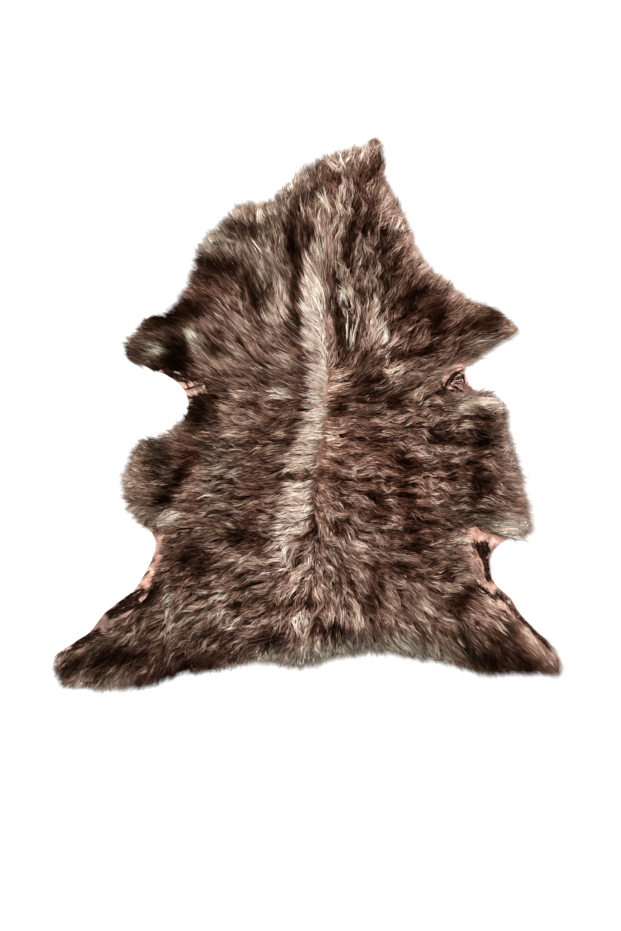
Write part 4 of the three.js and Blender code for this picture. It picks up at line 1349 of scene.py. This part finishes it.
def lay_wisps():
    """Root, heading, sideways curl and tone for every hair of every wisp."""
    roots, headings, curls, tones = [], [], [], []
    for wisp in WISPS:
        lie = math.radians(wisp.lie)
        ahead = np.array([math.cos(lie), math.sin(lie)])
        aside = np.array([-ahead[1], ahead[0]])
        spots = rng.uniform(-1, 1, (wisp.count, 2)) * (wisp.long * MM, wisp.wide * MM)
        roots.append(np.array(from_back(wisp.x, wisp.y)) + spots[:, :1] * ahead + spots[:, 1:] * aside)
        headings.append(lie + rng.normal(0, WISP_TURN, wisp.count))
        curls.append(wisp.curl * MM * rng.uniform(*WISP_CURLS, wisp.count))
        tones.append(wisp.tone + rng.uniform(*WISP_TONES, wisp.count))
    return [np.concatenate(rows) for rows in (roots, headings, curls, tones)]


hair_root, hair_heading, hair_curl, hair_dye = lay_wisps()
hair_count = len(hair_root)
print("wisps:", len(WISPS), "hairs:", hair_count)

# %% Bend the hairs and lay them on the skin
HAIR_LENGTH, HAIR_LENGTHS = 18 * MM, (0.5, 1.25)
HAIR_WIDTH, HAIR_WIDTHS = 0.85 * MM, (0.6, 1.5)
HAIR_POINTS = 6
HAIR_HEIGHT = 0.3 * MM
HAIR_RISE, HAIR_LOW = 1.5 * MM, 0.2
HAIR_OVERHANG = 1.5 * MM
HAIR_WARMTH = 0.5
HAIR_ROLL = 0.2
hair_share = np.linspace(0, 1, HAIR_POINTS)
hair_ahead = np.stack([np.cos(hair_heading), np.sin(hair_heading)], axis=1)[:, None, :]
hair_aside = np.stack([-np.sin(hair_heading), np.cos(hair_heading)], axis=1)[:, None, :]
hair_side = np.repeat(hair_aside, HAIR_POINTS, axis=1)
hair_length = HAIR_LENGTH * rng.uniform(*HAIR_LENGTHS, hair_count)
hair_run = hair_length[:, None] * (hair_share - 0.5)
hair_bow = hair_curl[:, None] * (2 * hair_share - 1) ** 2
hair_path = hair_root[:, None, :] + hair_ahead * hair_run[..., None]
hair_path = hair_path + hair_side * hair_bow[..., None]
hair_depth = look_up(inside_chart, hair_path[..., 0], hair_path[..., 1])
keep = np.all(hair_depth > -HAIR_OVERHANG, axis=1)
kept_count = int(keep.sum())
hair_top = np.maximum(look_up(top_chart, hair_path[..., 0], hair_path[..., 1]), SKIN_THICKNESS)
hair_rise = HAIR_RISE * np.sin(math.pi * hair_share)
hair_height = hair_top + HAIR_HEIGHT + hair_rise * rng.uniform(HAIR_LOW, 1, (hair_count, 1))
hair_tone = np.repeat(hair_dye[:, None], HAIR_POINTS, axis=1)
hairs = ribbon_mesh(
    "skin_hairs", hair_path[keep], hair_side[keep], hair_height[keep], hair_tone[keep],
    np.full(kept_count, HAIR_WARMTH), HAIR_WIDTH * rng.uniform(*HAIR_WIDTHS, kept_count),
    rng.normal(0, HAIR_ROLL, kept_count))
wool_pieces.append(hairs)
print("hairs on bare skin:", kept_count)

# %% [markdown]
# ## Dye the wool
#
# The dye reads only the UV map: tone picks a place on two colour ramps, one grey-brown and one red-brown,
# and warmth mixes them.
# Wool is matt, so the shader is rough and reflects nothing: the gloss of a white sky would grey its blacks.

# %% Mix the browns
GREY_BROWNS = [
    (0.00, (9, 6, 3)), (0.15, (37, 27, 18)), (0.30, (68, 56, 45)), (0.45, (112, 99, 84)),
    (0.60, (160, 148, 131)), (0.75, (201, 191, 173)), (0.90, (234, 226, 209)), (1.00, (250, 245, 236)),
]
RED_BROWNS = [
    (0.00, (12, 5, 2)), (0.15, (52, 27, 18)), (0.30, (87, 53, 42)), (0.45, (138, 97, 81)),
    (0.60, (183, 144, 126)), (0.75, (216, 185, 168)), (0.90, (239, 219, 205)), (1.00, (251, 243, 235)),
]


def linear(colour):
    """A colour picked on a screen, as the light that the shader works with."""
    shares = [c / 255 for c in colour]
    return tuple(c / 12.92 if c <= 0.04045 else ((c + 0.055) / 1.055) ** 2.4 for c in shares)


def add_ramp(material, stops, value):
    """A colour ramp that reads a socket; returns the colour's socket."""
    node = material.node_tree.nodes.new("ShaderNodeValToRGB")
    ramp = node.color_ramp
    while len(ramp.elements) < len(stops):
        ramp.elements.new(0.5)
    for element, (place, colour) in zip(ramp.elements, stops):
        element.position = place
        element.color = (*linear(colour), 1)
    material.node_tree.links.new(value, node.inputs["Fac"])
    return node.outputs["Color"]


def add_mix(material, factor, first, second):
    """Mix a colour's socket with another one, or with a plain colour; returns the mixed colour's socket."""
    links = material.node_tree.links
    node = material.node_tree.nodes.new("ShaderNodeMix")
    node.data_type = "RGBA"
    colours = [socket for socket in node.inputs if socket.type == "RGBA"]
    links.new(factor, node.inputs["Factor"])
    links.new(first, colours[0])
    if isinstance(second, tuple):
        colours[1].default_value = second
    else:
        links.new(second, colours[1])
    return [socket for socket in node.outputs if socket.type == "RGBA"][0]


print("stops of the colour ramps:", len(GREY_BROWNS), "and", len(RED_BROWNS))

# %% Make the wool material
WOOL_ROUGHNESS = 0.7


def add_dye(material, tone, warmth):
    """The wool's colour for a tone and a warmth, put on the material's shader."""
    greys, reds = [add_ramp(material, stops, tone) for stops in (GREY_BROWNS, RED_BROWNS)]
    shader = material.node_tree.nodes["Principled BSDF"]
    shader.inputs["Specular IOR Level"].default_value = 0.0
    material.node_tree.links.new(add_mix(material, warmth, greys, reds), shader.inputs["Base Color"])


def make_wool():
    """The wool reads its tone and warmth from the strands' UV map."""
    material = bpy.data.materials.new("wool")
    material.use_nodes = True
    nodes, links = material.node_tree.nodes, material.node_tree.links
    nodes["Principled BSDF"].inputs["Roughness"].default_value = WOOL_ROUGHNESS
    uv = nodes.new("ShaderNodeUVMap")
    uv.uv_map = UV_NAME
    split = nodes.new("ShaderNodeSeparateXYZ")
    links.new(uv.outputs["UV"], split.inputs["Vector"])
    add_dye(material, split.outputs["X"], split.outputs["Y"])
    return material


wool = make_wool()
for piece in wool_pieces:
    piece.data.materials.append(wool)
print("wool material on", len(wool_pieces), "pieces")

# %% [markdown]
# ## Colour the undercoat
#
# The felted mat has the wool's colour but is much darker, because little light gets down to it.
# Each corner of its mesh takes the tone and warmth of its place, and noise breaks them into short fibres.

# %% Make the felt material
MAT_SHADE_TONE, SEAM_MAT_SHADE_TONE = 0.38, 0.4
FELT_COLOUR, FELT_ROUGHNESS = (0.03, 0.02, 0.015), 0.95
FIBRE_TONE = 0.07
FIBRE_BUMP = 2 * MM
mat_x, mat_y = corners_of(mat)[:, :2].T
# Painted shade: the mat's tone is cut to a share of its place's tone, a larger share along the seam where
# the wool is thin.
mat_shaded_tone = tone_chart * (MAT_SHADE_TONE + SEAM_MAT_SHADE_TONE * seam_chart)
for name, chart in (("tone", mat_shaded_tone), ("warmth", warm_chart)):
    attribute = mat.data.attributes.new(name, "FLOAT", "POINT")
    attribute.data.foreach_set("value", look_up(chart, mat_x, mat_y).astype(np.float32))


def add_node(material, kind, **values):
    """A shader node with some of its sockets set."""
    node = material.node_tree.nodes.new(kind)
    for socket, value in values.items():
        node.inputs[socket.replace("_", " ")].default_value = value
    return node


def add_attribute(material, name):
    """A node that reads a value of the mesh's corners; returns the value's socket."""
    node = material.node_tree.nodes.new("ShaderNodeAttribute")
    node.attribute_name = name
    return node.outputs["Fac"]


def add_bump(material, height, distance):
    """Roughen the surface by a height."""
    links = material.node_tree.links
    bump = add_node(material, "ShaderNodeBump", Strength=1.0, Distance=distance)
    links.new(height, bump.inputs["Height"])
    links.new(bump.outputs["Normal"], material.node_tree.nodes["Principled BSDF"].inputs["Normal"])


def make_felt():
    """The felt reads its tone and warmth from the mat's corners, and noise shifts the tone."""
    material = plain_material("undercoat_felt", FELT_COLOUR, FELT_ROUGHNESS)
    nodes, links = material.node_tree.nodes, material.node_tree.links
    place = nodes.new("ShaderNodeTexCoord")
    fibres = add_node(material, "ShaderNodeTexNoise", Scale=420.0, Detail=3.0, Roughness=0.6)
    links.new(place.outputs["Object"], fibres.inputs["Vector"])
    shift = add_node(material, "ShaderNodeMapRange", To_Min=-FIBRE_TONE, To_Max=FIBRE_TONE)
    links.new(fibres.outputs["Fac"], shift.inputs["Value"])
    total = nodes.new("ShaderNodeMath")
    links.new(add_attribute(material, "tone"), total.inputs[0])
    links.new(shift.outputs["Result"], total.inputs[1])
    add_dye(material, total.outputs["Value"], add_attribute(material, "warmth"))
    add_bump(material, fibres.outputs["Fac"], FIBRE_BUMP)
    return material


mat.data.materials.clear()
mat.data.materials.append(make_felt())
print("undercoat tone, mean:", round(float(mat_shaded_tone.mean()), 2))

# %% [markdown]
# ## Colour the skin
#
# Bare skin is pink with redder blotches and fine pores.
# Its underside is the flesh side, which tanners buff to a pale suede, so the colour changes below the edge.

# %% Make the skin material
DUSKY_PLACE = (*from_back(-352, -384), 0)
DUSKY_NEAR, DUSKY_FAR, DUSKY_MOST = 20 * MM, 62 * MM, 0.7
DUSKY = (0.075, 0.036, 0.026)
SKIN_COLOUR, SKIN_ROUGHNESS = (0.7, 0.4, 0.3), 0.6
GRAIN_LOW, GRAIN_HIGH = 0.6 * MM, 1.6 * MM
PORE_BUMP = 0.3 * MM
PINKS = [(0.32, (112, 76, 64)), (0.44, (184, 134, 117)), (0.56, (212, 166, 150)), (0.7, (236, 208, 197))]
SUEDES = [(0.2, (196, 176, 152)), (0.8, (222, 206, 184))]


def make_skin():
    """Pink blotches above, suede below, and one dusky place on the left hind leg."""
    material = plain_material("pink_skin", SKIN_COLOUR, SKIN_ROUGHNESS)
    nodes, links = material.node_tree.nodes, material.node_tree.links
    place = nodes.new("ShaderNodeTexCoord")
    blotches = add_node(material, "ShaderNodeTexNoise", Scale=70.0, Detail=4.0, Roughness=0.65)
    pores = add_node(material, "ShaderNodeTexNoise", Scale=900.0, Detail=2.0)
    split = nodes.new("ShaderNodeSeparateXYZ")
    for node in (blotches, pores, split):
        links.new(place.outputs["Object"], node.inputs["Vector"])
    pinks, suedes = [add_ramp(material, stops, blotches.outputs["Fac"]) for stops in (PINKS, SUEDES)]
    grain_side = add_node(material, "ShaderNodeMapRange", From_Min=GRAIN_LOW, From_Max=GRAIN_HIGH)
    links.new(split.outputs["Z"], grain_side.inputs["Value"])
    away = nodes.new("ShaderNodeVectorMath")
    away.operation = "DISTANCE"
    away.inputs[1].default_value = DUSKY_PLACE
    links.new(place.outputs["Object"], away.inputs[0])
    dusk = add_node(
        material, "ShaderNodeMapRange", From_Min=DUSKY_FAR, From_Max=DUSKY_NEAR, To_Max=DUSKY_MOST)
    links.new(away.outputs["Value"], dusk.inputs["Value"])
    grain = add_mix(material, dusk.outputs["Result"], pinks, (*DUSKY, 1))
    colour = add_mix(material, grain_side.outputs["Result"], suedes, grain)
    links.new(colour, nodes["Principled BSDF"].inputs["Base Color"])
    add_bump(material, pores.outputs["Fac"], PORE_BUMP)
    return material


skin.data.materials.clear()
skin.data.materials.append(make_skin())
print("skin material:", skin.data.materials[0].name)

# %% [markdown]
# ## Attach the pieces
#
# The skin is a sheet that was cut to its outline and laid on the floor, with undercoat and wool on it.
# All of them are attached to one body and stand for the one solid, which is hidden.

dressing = [mat, *wool_pieces]
for piece in [skin, *dressing]:
    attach(piece, "root")
    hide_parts("sheepskin")
